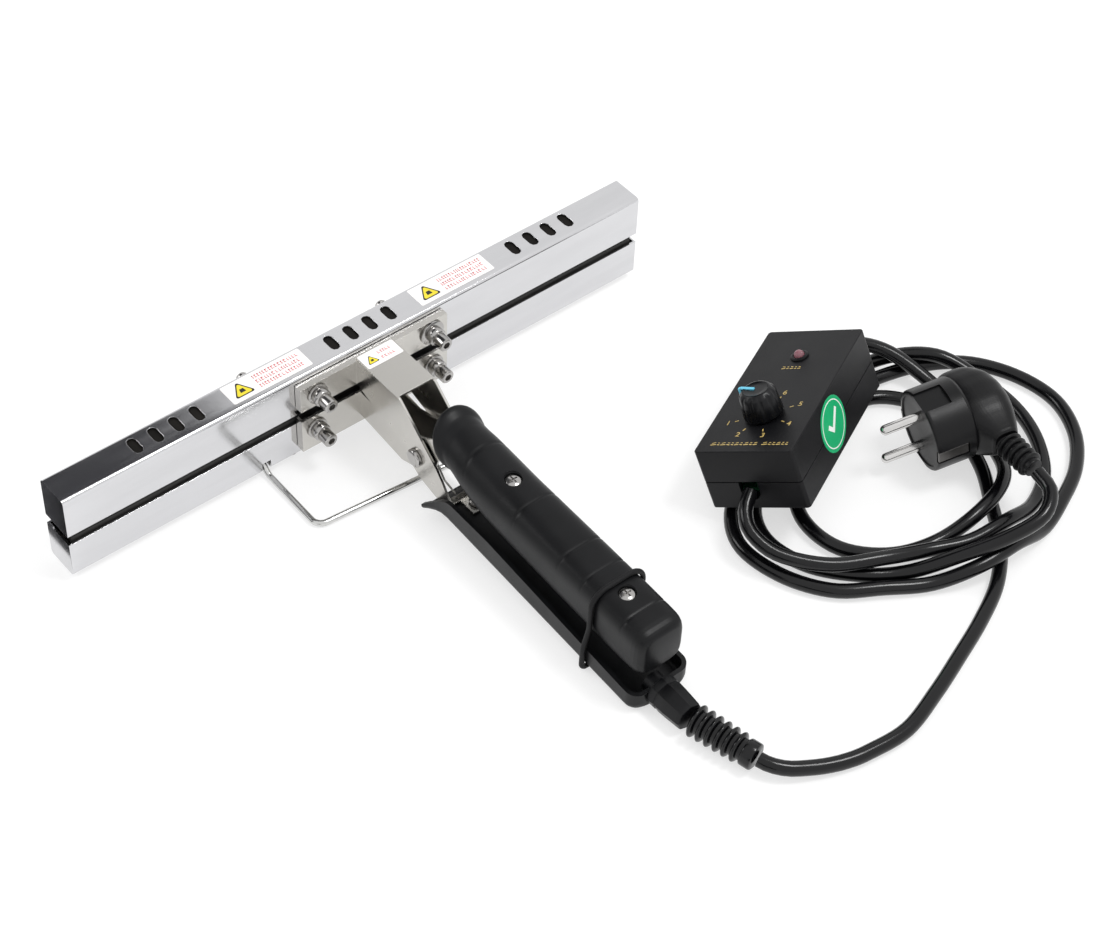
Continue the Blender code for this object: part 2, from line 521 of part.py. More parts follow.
def build_control_box():
    w, l, h = BOX_SIZE
    screw_spots = [(5.0, l - 5.0), (w - 5.0, 5.0)]
    front_exit = turned([(0, 4.6), (6, 4.6)], (21.5, -2, 9.0), (0, 1, 0), 20)
    front_slot = block((16.9, -2, 9.0), (26.1, 4, 16.0))
    rear_exit = turned([(0, 4.7), (6, 4.7)], (20.5, l - 4, 12.5), (0, 1, 0), 20)

    lid = solid("control_box_lid", in_box(prism(box_plan(0, 0), 2, BOX_SEAM + 0.12, h)), box_black)
    carve(lid, "lid_inside", in_box(prism(box_plan(2.0, 6.0), 2, BOX_SEAM - 2, h - 2.2)))
    carve(lid, "lid_cord_exit", in_box(rear_exit))
    carve(lid, "lid_panel_holes", in_box(several(
        turned([(0, 3.4), (6, 3.4)], (KNOB_AT[0], KNOB_AT[1], h - 4), (0, 0, 1), 20),
        turned([(0, 2.75), (6, 2.75)], (24.0, 72.0, h - 4), (0, 0, 1), 20),
        *[turned([(0, 1.5), (10, 1.5)], (x, y, BOX_SEAM - 2), (0, 0, 1), 12) for x, y in screw_spots])))

    base = solid("control_box_base", in_box(prism(box_plan(0, 0), 2, 0, BOX_SEAM - 0.12)), box_black)
    carve(base, "base_inside", in_box(prism(box_plan(2.0, 6.0), 2, 2.0, BOX_SEAM + 2)))
    carve(base, "base_rear_exit", in_box(rear_exit))
    carve(base, "base_front_exit", in_box(front_exit))
    carve(base, "base_front_slot", in_box(front_slot))
    carve(base, "base_screw_holes", in_box(several(*[turned([(0, 2.9), (3.6, 2.9), (3.61, 1.6), (20, 1.6)], (x, y, -1.6),
                                                           (0, 0, 1), 16) for x, y in screw_spots])))
    for k, (x, y) in enumerate(screw_spots):
        solid("box_screw_%d" % (k + 1), in_box(turned([(0, 2.4), (0.3, 2.7), (1.6, 2.7), (1.61, 1.35), (18, 1.35)],
                                                     (x, y, 0.35), (0, 0, 1), 16)), fastener)
    solid("control_board", in_box(block((10, 9.5, 2.15), (w - 10, l - 9.5, 3.75))), board_green)
    solid("potentiometer", in_box(turned([(0, 8.0), (9.5, 8.0), (9.51, 3.0), (22.5, 3.0)], (KNOB_AT[0], KNOB_AT[1], 18.8),
                                        (0, 0, 1), 20)), alloy)
    solid("power_lamp", in_box(turned([(0, 2.45), (6.0, 2.45), (7.6, 2.2), (8.6, 1.5), (9.0, 0.6)], (24, 72, 25.4),
                                     (0, 0, 1), 16)), lamp_clear)
    solid("lamp_bezel", in_box(turned_ring([(0, 2.75), (0, 4.3), (0.6, 4.2), (1.0, 3.5), (1.0, 2.75)], (24, 72, h + 0.1),
                                          (0, 0, 1), 24)), box_black)

    t = np.linspace(0, 2 * math.pi, 36, endpoint=False)[:, None]
    flutes = 1 - 0.045 * (np.cos(12 * t) > 0.3)
    rings = []
    for z, r in ((0, 8.6), (0.8, 9.2), (11.6, 8.3), (13.0, 7.6), (13.6, 6.2)):
        wave = flutes if 0.5 < z < 12 else 1.0
        rings.append(np.hstack([KNOB_AT[0] + r * wave * np.cos(t), KNOB_AT[1] + r * wave * np.sin(t),
                                np.full_like(t, h + 0.5 + z)]))
    knob = solid("control_knob", in_box(loft(rings)), knob_black, BOX_TURN @ (KNOB_AT[0], KNOB_AT[1], h) + BOX_AT)
    carve(knob, "knob_bore", in_box(turned([(0, 3.1), (12.5, 3.1)], (KNOB_AT[0], KNOB_AT[1], h - 1), (0, 0, 1), 20)))


# ---- angled mains plug: a axis back from the face, b axis towards the cord, c axis across both pins
PLUG_FACE = np.array([179.6, -55.2, 22.5])
PLUG_OUT = np.array([-0.941, 0.301, -0.154]) / np.linalg.norm([-0.941, 0.301, -0.154])
PLUG_PITCH = np.array([0.136, -0.080, -0.987]) - PLUG_OUT * (PLUG_OUT @ np.array([0.136, -0.080, -0.987]))
PLUG_PITCH = PLUG_PITCH / np.linalg.norm(PLUG_PITCH)
PLUG_TURN = np.column_stack([-PLUG_OUT, np.cross(PLUG_OUT, PLUG_PITCH), PLUG_PITCH])


def in_plug(body):
    return placed(body, PLUG_TURN, PLUG_FACE)


def build_plug():
    body = solid("plug_body", in_plug(turned([(0, 18.6), (0.8, 19.5), (19.4, 19.5), (20.6, 18.6)], (0, 0, 0), (1, 0, 0), 28)),
                 plug_black)
    t = np.linspace(0, 2 * math.pi, 20, endpoint=False)
    rings = []
    for b, a0, a1, c_half in ((-19.0, 17.5, 26, 8.5), (-17.6, 16, 31, 12), (-14, 15, 36, 14.6), (-8, 15, 40, 16.3), (0, 15, 42, 17),
                              (8, 15.5, 42, 16.4), (14, 17, 41, 14.4), (19, 20.5, 39.4, 11.2), (22.5, 24, 37.8, 8.6),
                              (24.5, 25.2, 37.2, 7.2)):
        c, s = np.cos(t), np.sin(t)
        rings.append(np.c_[(a0 + a1) / 2 + (a1 - a0) / 2 * np.sign(c) * np.abs(c) ** (2 / 3.2), np.full_like(t, b),
                           c_half * np.sign(s) * np.abs(s) ** (2 / 3.2)])
    carve(body, "plug_back", in_plug(loft(rings)), "UNION")
    start, end = np.array([30.9, 22.5, 0.0]), np.array([34.5, 43.4, 0.0])
    length = float(np.linalg.norm(end - start))
    profile = [(0, 6.2)] + [(s + 2.2, r) for s, r in ribbed(length - 2.0, 5, 4.7, 6.6, 1.5)] + [(length - 0.4, 4.6),
                                                                                                 (length, 4.5)]
    carve(body, "plug_boot", in_plug(turned(profile, start, end - start, 12)), "UNION")
    pins = [turned([(0, 2.5), (17, 2.5)], (-2, 0, s * 9.5), (1, 0, 0), 20) for s in (-1, 1)]
    grooves = [block((-2, min(s * 17.4, s * 22), -3.4), (15.5, max(s * 17.4, s * 22), 3.4)) for s in (-1, 1)]
    carve(body, "plug_sockets", in_plug(several(*pins, *grooves)))
    for side, s in (("a", -1), ("b", 1)):
        solid("plug_pin_" + side, in_plug(turned([(0, 1.3), (0.9, 2.1), (1.8, 2.4), (33.5, 2.4)], (-19, 0, s * 9.5), (1, 0, 0),
                                                 16)), fastener)
        low, high = sorted((s * 17.6, s * 18.9))
        solid("earth_clip_" + side, in_plug(block((0.3, low, -3.0), (15.2, high, 3.0))), fastener)


TOOL_LEAD = [
    (6.5, -138.3, 7.15), (8.6, -143.0, 6.6), (13.6, -148.3, 5.6), (20.5, -152.4, 4.6), (28.0, -156.2, 3.9),
    (36.5, -159.5, 3.6), (47.0, -161.9, 3.6), (68.0, -163.4, 3.6), (91.5, -157.0, 3.6), (113.0, -149.5, 3.6), (135.5, -141.0, 3.6), (156.5, -130.5, 3.6), (174.5, -115.0, 3.6), (188.5, -96.0, 3.6),
    (201.5, -76.5, 3.6), (209.0, -53.0, 3.6), (205.5, -29.0, 3.6), (191.5, -14.5, 3.6), (171.5, -14.0, 3.6),
    (147.5, -21.5, 3.6), (126.5, -32.5, 3.6), (114.0, -51.0, 3.6), (115.0, -73.0, 3.6), (130.0, -90.0, 4.0),
    (152.5, -98.0, 5.0), (176.0, -100.0, 11.0), (198.0, -93.0, 10.5), (212.5, -76.5, 4.5), (218.0, -53.5, 4.0),
    (219.5, -28.5, 6.0), (212.0, -6.0, 14.0), (200.0, 6.0, 18.5), (187.5, 8.5, 20.0), (175.5, 6.0, 20.5)]
POWER_LEAD = [
    (92.5, -37.0, 24.5), (84.5, -42.5, 21.5), (80.5, -52.0, 18.0), (84.5, -66.0, 14.0), (100.0, -82.5, 11.5),
    (121.5, -94.0, 11.5), (141.5, -101.5, 9.5), (160.0, -109.5, 10.0), (181.5, -111.5, 11.0), (202.0, -108.5, 4.5),
    (220.5, -98.5, 3.6), (234.0, -81.0, 4.0), (241.0, -60.5, 4.0), (239.5, -38.5, 6.0), (230.5, -19.0, 11.5),
    (216.0, -3.5, 8.0), (195.0, 4.0, 4.0), (174.0, 2.0, 3.6), (152.5, -4.5, 3.6), (132.0, -11.0, 3.6), (110.0, -18.0, 3.6),
    (91.5, -28.0, 3.6), (81.0, -46.0, 3.6), (84.0, -69.5, 3.6), (96.0, -89.5, 3.6), (114.0, -102.0, 4.0),
    (133.0, -113.5, 4.0), (153.0, -122.0, 9.5), (174.5, -123.5, 11.0), (195.5, -121.5, 4.5), (215.5, -114.5, 4.0),
    (235.5, -104.5, 3.6), (251.5, -89.0, 3.6), (260.0, -68.5, 3.6), (257.0, -46.0, 3.6), (245.0, -26.0, 3.6),
    (226.0, -13.5, 3.6), (204.0, -7.0, 3.6), (182.5, -4.5, 4.0), (161.5, -9.0, 6.5), (140.5, -16.5, 5.0), (119.0, -23.0, 4.0),
    (101.0, -33.0, 3.6), (92.5, -51.0, 3.6), (97.0, -72.0, 3.6), (111.0, -90.0, 4.0), (128.0, -102.5, 5.0),
    (148.5, -114.5, 13.0), (167.5, -123.5, 20.0), (184.0, -127.0, 25.5), (195.0, -120.5, 28.5), (198.0, -109.5, 29.5)]


def build_cords():
    wire("tool_lead", smooth_route(TOOL_LEAD, 13.5), CORD_RADIUS, cord_black)
    wire("power_lead", smooth_route(POWER_LEAD, 13.5), CORD_RADIUS, cord_black)


build_upper_jaw()
build_lower_jaw()
build_upper_arm()
build_lower_arm()
build_fasteners()
build_opening_spring()
build_upper_grip()
build_lower_handle()
build_strain_relief()
build_retaining_loop()
build_wire_stand()
build_control_box()
build_plug()
build_cords()
print("nodes", len([ob for ob in bpy.context.scene.objects if not ob.hide_render]))
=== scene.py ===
import math

import bmesh
import bpy
import numpy as np
from mathutils import Matrix, Vector


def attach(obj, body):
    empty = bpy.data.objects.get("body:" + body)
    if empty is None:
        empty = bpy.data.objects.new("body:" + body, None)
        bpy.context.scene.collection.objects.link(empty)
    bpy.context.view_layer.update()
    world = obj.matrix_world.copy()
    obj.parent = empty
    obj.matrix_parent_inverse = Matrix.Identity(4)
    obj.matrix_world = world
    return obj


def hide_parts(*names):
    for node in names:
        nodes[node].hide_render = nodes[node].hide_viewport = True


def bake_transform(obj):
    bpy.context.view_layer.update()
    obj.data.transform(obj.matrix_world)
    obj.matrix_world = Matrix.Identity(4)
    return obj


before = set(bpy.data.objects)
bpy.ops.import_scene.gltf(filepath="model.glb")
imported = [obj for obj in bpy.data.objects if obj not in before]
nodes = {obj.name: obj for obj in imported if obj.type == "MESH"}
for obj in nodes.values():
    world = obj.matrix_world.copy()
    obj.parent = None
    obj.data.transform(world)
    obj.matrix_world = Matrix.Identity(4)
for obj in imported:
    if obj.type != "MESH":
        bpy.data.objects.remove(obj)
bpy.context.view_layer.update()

mm = 0.001
scene = bpy.context.scene
print("frame loaded,", len(nodes), "solids")


# ---- camera: a long lens from the front left, above the bench
view = {"place": (-0.4778, -0.5477, 0.8516), "azimuth": -41.563, "height": 47.193, "roll": 2.920,
        "lens": 83.16}


def aimCamera():
    az, el, roll = (math.radians(view[k]) for k in ("azimuth", "height", "roll"))
    back = Vector((math.sin(az) * math.cos(el), -math.cos(az) * math.cos(el), math.sin(el)))
    right = Vector((0, 0, 1)).cross(back).normalized()
    up = back.cross(right)
    side, top = right * math.cos(roll) + up * math.sin(roll), up * math.cos(roll) - right * math.sin(roll)
    data = bpy.data.cameras.new("camera")
    data.lens, data.sensor_width, data.clip_start = view["lens"], 36.0, 0.01
    camera = bpy.data.objects.new("camera", data)
    turn = Matrix((side, top, back)).transposed().to_4x4()
    camera.matrix_world = Matrix.Translation(view["place"]) @ turn
    scene.collection.objects.link(camera)
    scene.camera = camera


aimCamera()


# ---- materials: each is a base colour broken up by noise, with its own roughness spread and fine bump
def finishOf(name, colour, spread, metallic, rough, grain, bump, smear=(1, 1, 1), specular=0.5,
             transmission=0.0):
    mat = bpy.data.materials.new(name)
    mat.use_nodes = True
    tree = mat.node_tree
    shader = tree.nodes["Principled BSDF"]
    shader.inputs["Metallic"].default_value = metallic
    shader.inputs["Specular IOR Level"].default_value = specular
    shader.inputs["Transmission Weight"].default_value = transmission
    place = tree.nodes.new("ShaderNodeTexCoord")
    mapping = tree.nodes.new("ShaderNodeMapping")
    tree.links.new(place.outputs["Object"], mapping.inputs["Vector"])
    mapping.inputs["Scale"].default_value = smear
    cloud = tree.nodes.new("ShaderNodeTexNoise")
    cloud.inputs["Scale"].default_value = 60.0
    cloud.inputs["Detail"].default_value = 5.0
    tree.links.new(mapping.outputs["Vector"], cloud.inputs["Vector"])
    tone = tree.nodes.new("ShaderNodeMapRange")
    tone.inputs["From Min"].default_value, tone.inputs["From Max"].default_value = 0.3, 0.7
    tone.inputs["To Min"].default_value, tone.inputs["To Max"].default_value = rough
    tree.links.new(cloud.outputs["Fac"], tone.inputs["Value"])
    tree.links.new(tone.outputs["Result"], shader.inputs["Roughness"])
    ramp = tree.nodes.new("ShaderNodeValToRGB")
    low = [max(0.0, c * (1 - spread)) for c in colour]
    high = [min(1.0, c * (1 + spread)) for c in colour]
    ramp.color_ramp.elements[0].color = (*low, 1)
    ramp.color_ramp.elements[1].color = (*high, 1)
    ramp.color_ramp.elements[0].position, ramp.color_ramp.elements[1].position = 0.35, 0.65
    tree.links.new(cloud.outputs["Fac"], ramp.inputs["Fac"])
    tree.links.new(ramp.outputs["Color"], shader.inputs["Base Color"])
    fine = tree.nodes.new("ShaderNodeTexNoise")
    fine.inputs["Scale"].default_value = grain
    fine.inputs["Detail"].default_value = 3.0
    tree.links.new(mapping.outputs["Vector"], fine.inputs["Vector"])
    relief = tree.nodes.new("ShaderNodeBump")
    relief.inputs["Strength"].default_value = bump
    relief.inputs["Distance"].default_value = 0.0002
    tree.links.new(fine.outputs["Fac"], relief.inputs["Height"])
    tree.links.new(relief.outputs["Normal"], shader.inputs["Normal"])
    return mat


polishedSteel = finishOf("polishedSteel", (0.66, 0.66, 0.675), 0.02, 1.0, (0.09, 0.15), 900, 0.02,
                         smear=(0.4, 3, 3))
satinSteel = finishOf("satinSteel", (0.58, 0.565, 0.535), 0.03, 1.0, (0.2, 0.28), 1400, 0.03,
                      smear=(1, 2, 2))
brightZinc = finishOf("brightZinc", (0.44, 0.43, 0.42), 0.08, 1.0, (0.14, 0.28), 900, 0.03)
pinNickel = finishOf("pinNickel", (0.66, 0.65, 0.64), 0.05, 1.0, (0.12, 0.2), 900, 0.03)
clipSteel = finishOf("clipSteel", (0.16, 0.155, 0.15), 0.15, 1.0, (0.3, 0.4), 900, 0.05)
springWire = finishOf("springWire", (0.63, 0.63, 0.62), 0.06, 1.0, (0.12, 0.22), 1200, 0.06)
heaterAlloy = finishOf("heaterAlloy", (0.45, 0.45, 0.45), 0.1, 1.0, (0.45, 0.6), 700, 0.15,
                       smear=(0.3, 3, 3))
crimpCoating = finishOf("crimpCoating", (0.020, 0.019, 0.018), 0.25, 0.0, (0.5, 0.7), 2200, 0.2)
# near-black felt for the upper pad: painted shade, so the vent slots above it read dark like hollows in
# shadow
ventShadeFelt = finishOf("ventShadeFelt", (0.012, 0.011, 0.010), 0.3, 0.0, (0.8, 0.95), 1500, 0.5, specular=0.1)
elementSheath = finishOf("elementSheath", (0.3, 0.27, 0.25), 0.2, 1.0, (0.4, 0.55), 800, 0.1)
ceramicFelt = finishOf("ceramicFelt", (0.72, 0.69, 0.62), 0.1, 0.0, (0.85, 0.95), 1500, 0.5)
gripPlastic = finishOf("gripPlastic", (0.0040, 0.0042, 0.0050), 0.18, 0.0, (0.34, 0.46), 2600, 0.12,
                       specular=0.22)
handlePlastic = finishOf("handlePlastic", (0.0036, 0.0038, 0.0046), 0.18, 0.0, (0.32, 0.44), 2600, 0.12,
                         specular=0.24)
cordSheath = finishOf("cordSheath", (0.0020, 0.0020, 0.0026), 0.2, 0.0, (0.15, 0.24), 1500, 0.06,
                      specular=0.36)
elasticCord = finishOf("elasticCord", (0.0035, 0.0035, 0.0042), 0.2, 0.0, (0.5, 0.65), 5200, 0.5,
                       specular=0.25)
boxPlastic = finishOf("boxPlastic", (0.0042, 0.0042, 0.0052), 0.15, 0.0, (0.36, 0.46), 3200, 0.22,
                      specular=0.22)
knobPlastic = finishOf("knobPlastic", (0.0030, 0.0032, 0.0042), 0.15, 0.0, (0.24, 0.34), 2400, 0.08,
                       specular=0.28)
plugPlastic = finishOf("plugPlastic", (0.0034, 0.0034, 0.0040), 0.18, 0.0, (0.30, 0.42), 2600, 0.16,
                       specular=0.26)
boardLacquer = finishOf("boardLacquer", (0.03, 0.16, 0.07), 0.2, 0.0, (0.25, 0.4), 900, 0.05)
lampLens = finishOf("lampLens", (0.46, 0.20, 0.24), 0.05, 0.0, (0.05, 0.1), 600, 0.03, transmission=0.55)
labelPaper = finishOf("labelPaper", (0.86, 0.84, 0.83), 0.02, 0.0, (0.35, 0.45), 1500, 0.04)
labelYellow = finishOf("labelYellow", (0.80, 0.66, 0.03), 0.06, 0.0, (0.4, 0.5), 1500, 0.03)
labelRed = finishOf("labelRed", (0.72, 0.12, 0.14), 0.12, 0.0, (0.4, 0.5), 1500, 0.03)
labelBlack = finishOf("labelBlack", (0.02, 0.02, 0.015), 0.1, 0.0, (0.4, 0.5), 1500, 0.03)
goldPrint = finishOf("goldPrint", (0.55, 0.40, 0.13), 0.12, 0.0, (0.3, 0.42), 2000, 0.05)
sealGreen = finishOf("sealGreen", (0.006, 0.40, 0.15), 0.05, 0.0, (0.28, 0.36), 1500, 0.04)
sealWhite = finishOf("sealWhite", (0.85, 0.88, 0.85), 0.02, 0.0, (0.3, 0.4), 1500, 0.03)
pointerBlue = finishOf("pointerBlue", (0.12, 0.50, 0.68), 0.06, 0.0, (0.3, 0.4), 1500, 0.03)
print("materials mixed")


# ---- shared ways of making a surface
def frameOf(direction):
    d = np.asarray(direction, float)
    d = d / np.linalg.norm(d)
    side = np.cross(d, (0.0, 0.0, 1.0) if abs(d[2]) < 0.9 else (1.0, 0.0, 0.0))
    side /= np.linalg.norm(side)
    return d, side, np.cross(d, side)


def skin(rings, loop=False, ends=True):
    # rings is rows x columns x 3; every row is a closed outline, and rows join in order
    rows, cols = rings.shape[:2]
    a = np.arange(rows * cols).reshape(rows, cols)
    b = np.roll(a, -1, axis=1)
    if loop:
        quads = np.stack([a, b, np.roll(b, -1, axis=0), np.roll(a, -1, axis=0)], -1).reshape(-1, 4)
    else:
        quads = np.stack([a[:-1], b[:-1], b[1:], a[1:]], -1).reshape(-1, 4)
    faces = quads.tolist()
    if ends and not loop:
        faces += [a[0][::-1].tolist(), a[-1].tolist()]
    return rings.reshape(-1, 3), faces


def revolve(profile, start, direction, sides=48, loop=False, wave=None):
    # radius r at distance s along the axis, swept through a full turn
    d, u, v = frameOf(direction)
    p = np.asarray(profile, float)
    t = np.linspace(0, 2 * math.pi, sides, endpoint=False)
    swell = np.ones((len(p), sides)) if wave is None else wave(p, t)
    radial = np.cos(t)[None, :, None] * u + np.sin(t)[None, :, None] * v
    along, out = p[:, 0, None, None] * d, (p[:, 1, None] * swell)[:, :, None] * radial
    return skin(np.asarray(start, float) + along + out, loop)


def rounded(points, radius, steps=8, closed=True):
    # replaces each corner by an arc of the given radius
    pts = [np.asarray(p, float) for p in points]
    radii = radius if isinstance(radius, (list, tuple)) else [radius] * len(pts)
    out = []
    for i, p in enumerate(pts):
        if radii[i] == 0 or (not closed and i in (0, len(pts) - 1)):
            out.append(p[None])
            continue
        a, b = pts[i - 1] - p, pts[(i + 1) % len(pts)] - p
        a, b = a / np.linalg.norm(a), b / np.linalg.norm(b)
        half = math.acos(max(-1.0, min(1.0, float(a @ b)))) / 2
        centre = p + (a + b) / np.linalg.norm(a + b) * radii[i] / math.sin(half)
        s, e = p + a * radii[i] / math.tan(half) - centre, p + b * radii[i] / math.tan(half) - centre
        turn, w = math.pi - 2 * half, np.linspace(0, 1, steps + 1)[:, None]
        out.append(centre + (np.sin((1 - w) * turn) * s + np.sin(w * turn) * e) / math.sin(turn))
    return np.vstack(out)


def carried(outline, path, loop=False):
    # a flat outline (across, up) carried along a path without twisting
    path = np.asarray(path, float)
    along = np.gradient(path, axis=0) if not loop else np.roll(path, -1, 0) - np.roll(path, 1, 0)
    along /= np.linalg.norm(along, axis=1)[:, None]
    across = frameOf(along[0])[1]
    rings = []
    for p, d in zip(path, along):
        across = across - d * (across @ d)
        across /= np.linalg.norm(across)
        rings.append(p + outline[:, :1] * across + outline[:, 1:] * np.cross(d, across))
    return skin(np.array(rings), loop)


def circleOf(radius, sides=20):
    t = np.linspace(0, 2 * math.pi, sides, endpoint=False)
    return np.c_[radius * np.cos(t), radius * np.sin(t)]


def slab(outline, low, high, turn=np.eye(3), at=(0, 0, 0)):
    # flat outline in the first two axes, standing from low to high along the third
    o = np.asarray(outline, float)
    rings = np.array([np.c_[o, np.full(len(o), level)] for level in (low, high)])
    v, f = skin(rings)
    return v @ np.asarray(turn).T + np.asarray(at, float), f


def several(*bodies):
    verts, faces, count = [], [], 0
    for v, f in bodies:
        verts.append(v)
        faces += [[i + count for i in face] for face in f]
        count += len(v)
    return np.vstack(verts), faces


def softenEdges(ob, width, segments=3, angle=35):
    bevel = ob.modifiers.new("edges", "BEVEL")
    bevel.width, bevel.segments, bevel.limit_method = width * mm, segments, "ANGLE"
    bevel.angle_limit = math.radians(angle)
    even = ob.modifiers.new("evenNormals", "WEIGHTED_NORMAL")
    even.weight, even.keep_sharp = 100, True


def meshOf(name, body):
    mesh = bpy.data.meshes.new(name)
    mesh.from_pydata((np.asarray(body[0]) * mm).tolist(), [], body[1])
    bm = bmesh.new()
    bm.from_mesh(mesh)
    bmesh.ops.recalc_face_normals(bm, faces=bm.faces)
    bm.to_mesh(mesh)
    bm.free()
    return mesh


def piece(name, body, mat, rides, stands=(), edges=0.0, sharp=38):
    # a made shape in millimetres; rides is None for a piece that is left on no body
    mesh = meshOf(name, body)
    mesh.shade_smooth()
    if not edges:
        mesh.set_sharp_from_angle(angle=math.radians(sharp))
    mesh.materials.append(mat)
    ob = bpy.data.objects.new(name, mesh)
    scene.collection.objects.link(ob)
    if edges:
        softenEdges(ob, edges)
    if rides:
        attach(ob, rides)
    if stands:
        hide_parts(*([stands] if isinstance(stands, str) else stands))
    return ob


def cutOut(ob, body, operation="DIFFERENCE"):
    # cuts a shape out of a piece, or joins it on, and keeps only the result
    tool = bpy.data.objects.new("cutter", meshOf("cutter", body))
    scene.collection.objects.link(tool)
    kept = [(m.width, m.segments) for m in ob.modifiers if m.type == "BEVEL"]
    ob.modifiers.clear()
    step = ob.modifiers.new("cut", "BOOLEAN")
    step.operation, step.solver, step.object = operation, "EXACT", tool
    graph = bpy.context.evaluated_depsgraph_get()
    result = bpy.data.meshes.new_from_object(ob.evaluated_get(graph))
    ob.modifiers.clear()
    mats = list(ob.data.materials)
    ob.data = result
    ob.data.materials.clear()
    for m in mats:
        ob.data.materials.append(m)
    bpy.data.objects.remove(tool)
    for width, segments in kept:
        softenEdges(ob, width / mm, segments)
    if not kept:
        ob.data.set_sharp_from_angle(angle=math.radians(38))


def refined(node, name, mat, rides, edges=0.3, segments=3):
    # a clean-edged copy of a solid: facets joined into whole faces, then every edge softened
    mesh = nodes[node].data.copy()
    bm = bmesh.new()
    bm.from_mesh(mesh)
    bmesh.ops.remove_doubles(bm, verts=bm.verts, dist=2e-6)
    bmesh.ops.dissolve_limit(bm, angle_limit=math.radians(0.6), verts=bm.verts, edges=bm.edges)
    bm.to_mesh(mesh)
    bm.free()
    mesh.shade_smooth()
    mesh.materials.clear()
    mesh.materials.append(mat)
    ob = bpy.data.objects.new(name, mesh)
    scene.collection.objects.link(ob)
    softenEdges(ob, edges, segments)
    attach(ob, rides)
    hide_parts(node)


def crossHead(name, profile, start, direction, top, rides, node, reach=1.5, width=0.55, depth=1.0):
    # turned screw with a cross-shaped driver recess sunk into its head, from the given top
    ob = piece(name, revolve(profile, start, direction, 40), brightZinc, rides, node)
    d, u, v = frameOf(direction)
    turn = np.column_stack([u, v, d])
    for a, b in ((reach, width / 2), (width / 2, reach)):
        cutOut(ob, slab([(-a, -b), (a, -b), (a, b), (-a, b)], top - depth, top + 1, turn, start))


def smoothRoute(points, spacing):
    # Catmull-Rom curve through the points, then even steps along it
    p = np.asarray(points, float)
    p = np.vstack([2 * p[0] - p[1], p, 2 * p[-1] - p[-2]])
    t = np.linspace(0, 1, 16, endpoint=False)[:, None]
    fine = []
    for a, b, c, d in zip(p[:-3], p[1:-2], p[2:-1], p[3:]):
        bend, twist = 2 * a - 5 * b + 4 * c - d, 3 * b - a - 3 * c + d
        fine.append(0.5 * (2 * b + (c - a) * t + bend * t ** 2 + twist * t ** 3))
    fine = np.vstack(fine + [p[-2:-1]])
    run = np.r_[0, np.cumsum(np.linalg.norm(np.diff(fine, axis=0), axis=1))]
    s = np.linspace(0, run[-1], int(round(run[-1] / spacing)) + 1)
    return np.column_stack([np.interp(s, run, fine[:, k]) for k in range(3)]), run[-1]


# ---- the two leads, lying as they were put down
leads = {
    "radius": 3.4, "step": 3.5,
    "toolLead": [
        (6.5, -138.3, 7.15), (8.6, -143.0, 6.6), (13.6, -148.3, 5.6), (20.5, -152.4, 4.6),
        (28.0, -156.2, 3.9), (36.5, -159.5, 3.6), (47.0, -161.9, 3.6), (68.0, -163.4, 3.6),
        (91.5, -157.0, 3.6), (113.0, -149.5, 3.6), (135.5, -141.0, 3.6), (156.5, -130.5, 3.6),
        (174.5, -115.0, 3.6), (188.5, -96.0, 3.6), (201.5, -76.5, 3.6), (209.0, -53.0, 3.6),
        (205.5, -29.0, 3.6), (191.5, -14.5, 3.6), (171.5, -14.0, 3.6), (147.5, -21.5, 3.6),
        (126.5, -32.5, 3.6), (114.0, -51.0, 3.6), (115.0, -73.0, 3.6), (130.0, -90.0, 4.0),
        (152.5, -98.0, 5.0), (176.0, -100.0, 11.0), (198.0, -93.0, 10.5), (212.5, -76.5, 4.5),
        (218.0, -53.5, 4.0), (219.5, -28.5, 6.0), (212.0, -6.0, 14.0), (200.0, 6.0, 18.5),
        (187.5, 8.5, 20.0), (175.5, 6.0, 20.5)],
    "powerLead": [
        (92.5, -37.0, 24.5), (84.5, -42.5, 21.5), (80.5, -52.0, 18.0), (84.5, -66.0, 14.0),
        (100.0, -82.5, 11.5), (121.5, -94.0, 11.5), (141.5, -101.5, 9.5), (160.0, -109.5, 10.0),
        (181.5, -111.5, 11.0), (202.0, -108.5, 4.5), (220.5, -98.5, 3.6), (234.0, -81.0, 4.0),
        (241.0, -60.5, 4.0), (239.5, -38.5, 6.0), (230.5, -19.0, 11.5), (216.0, -3.5, 8.0),
        (195.0, 4.0, 4.0), (174.0, 2.0, 3.6), (152.5, -4.5, 3.6), (132.0, -11.0, 3.6),
        (110.0, -18.0, 3.6), (91.5, -28.0, 3.6), (81.0, -46.0, 3.6), (84.0, -69.5, 3.6),
        (96.0, -89.5, 3.6), (114.0, -102.0, 4.0), (133.0, -113.5, 4.0), (153.0, -122.0, 9.5),
        (174.5, -123.5, 11.0), (195.5, -121.5, 4.5), (215.5, -114.5, 4.0), (235.5, -104.5, 3.6),
        (251.5, -89.0, 3.6), (260.0, -68.5, 3.6), (257.0, -46.0, 3.6), (245.0, -26.0, 3.6),
        (226.0, -13.5, 3.6), (204.0, -7.0, 3.6), (182.5, -4.5, 4.0), (161.5, -9.0, 6.5),
        (140.5, -16.5, 5.0), (119.0, -23.0, 4.0), (101.0, -33.0, 3.6), (92.5, -51.0, 3.6),
        (97.0, -72.0, 3.6), (111.0, -90.0, 4.0), (128.0, -102.5, 5.0), (148.5, -114.5, 13.0),
        (167.5, -123.5, 20.0), (184.0, -127.0, 25.5), (195.0, -120.5, 28.5), (198.0, -109.5, 29.5)]}


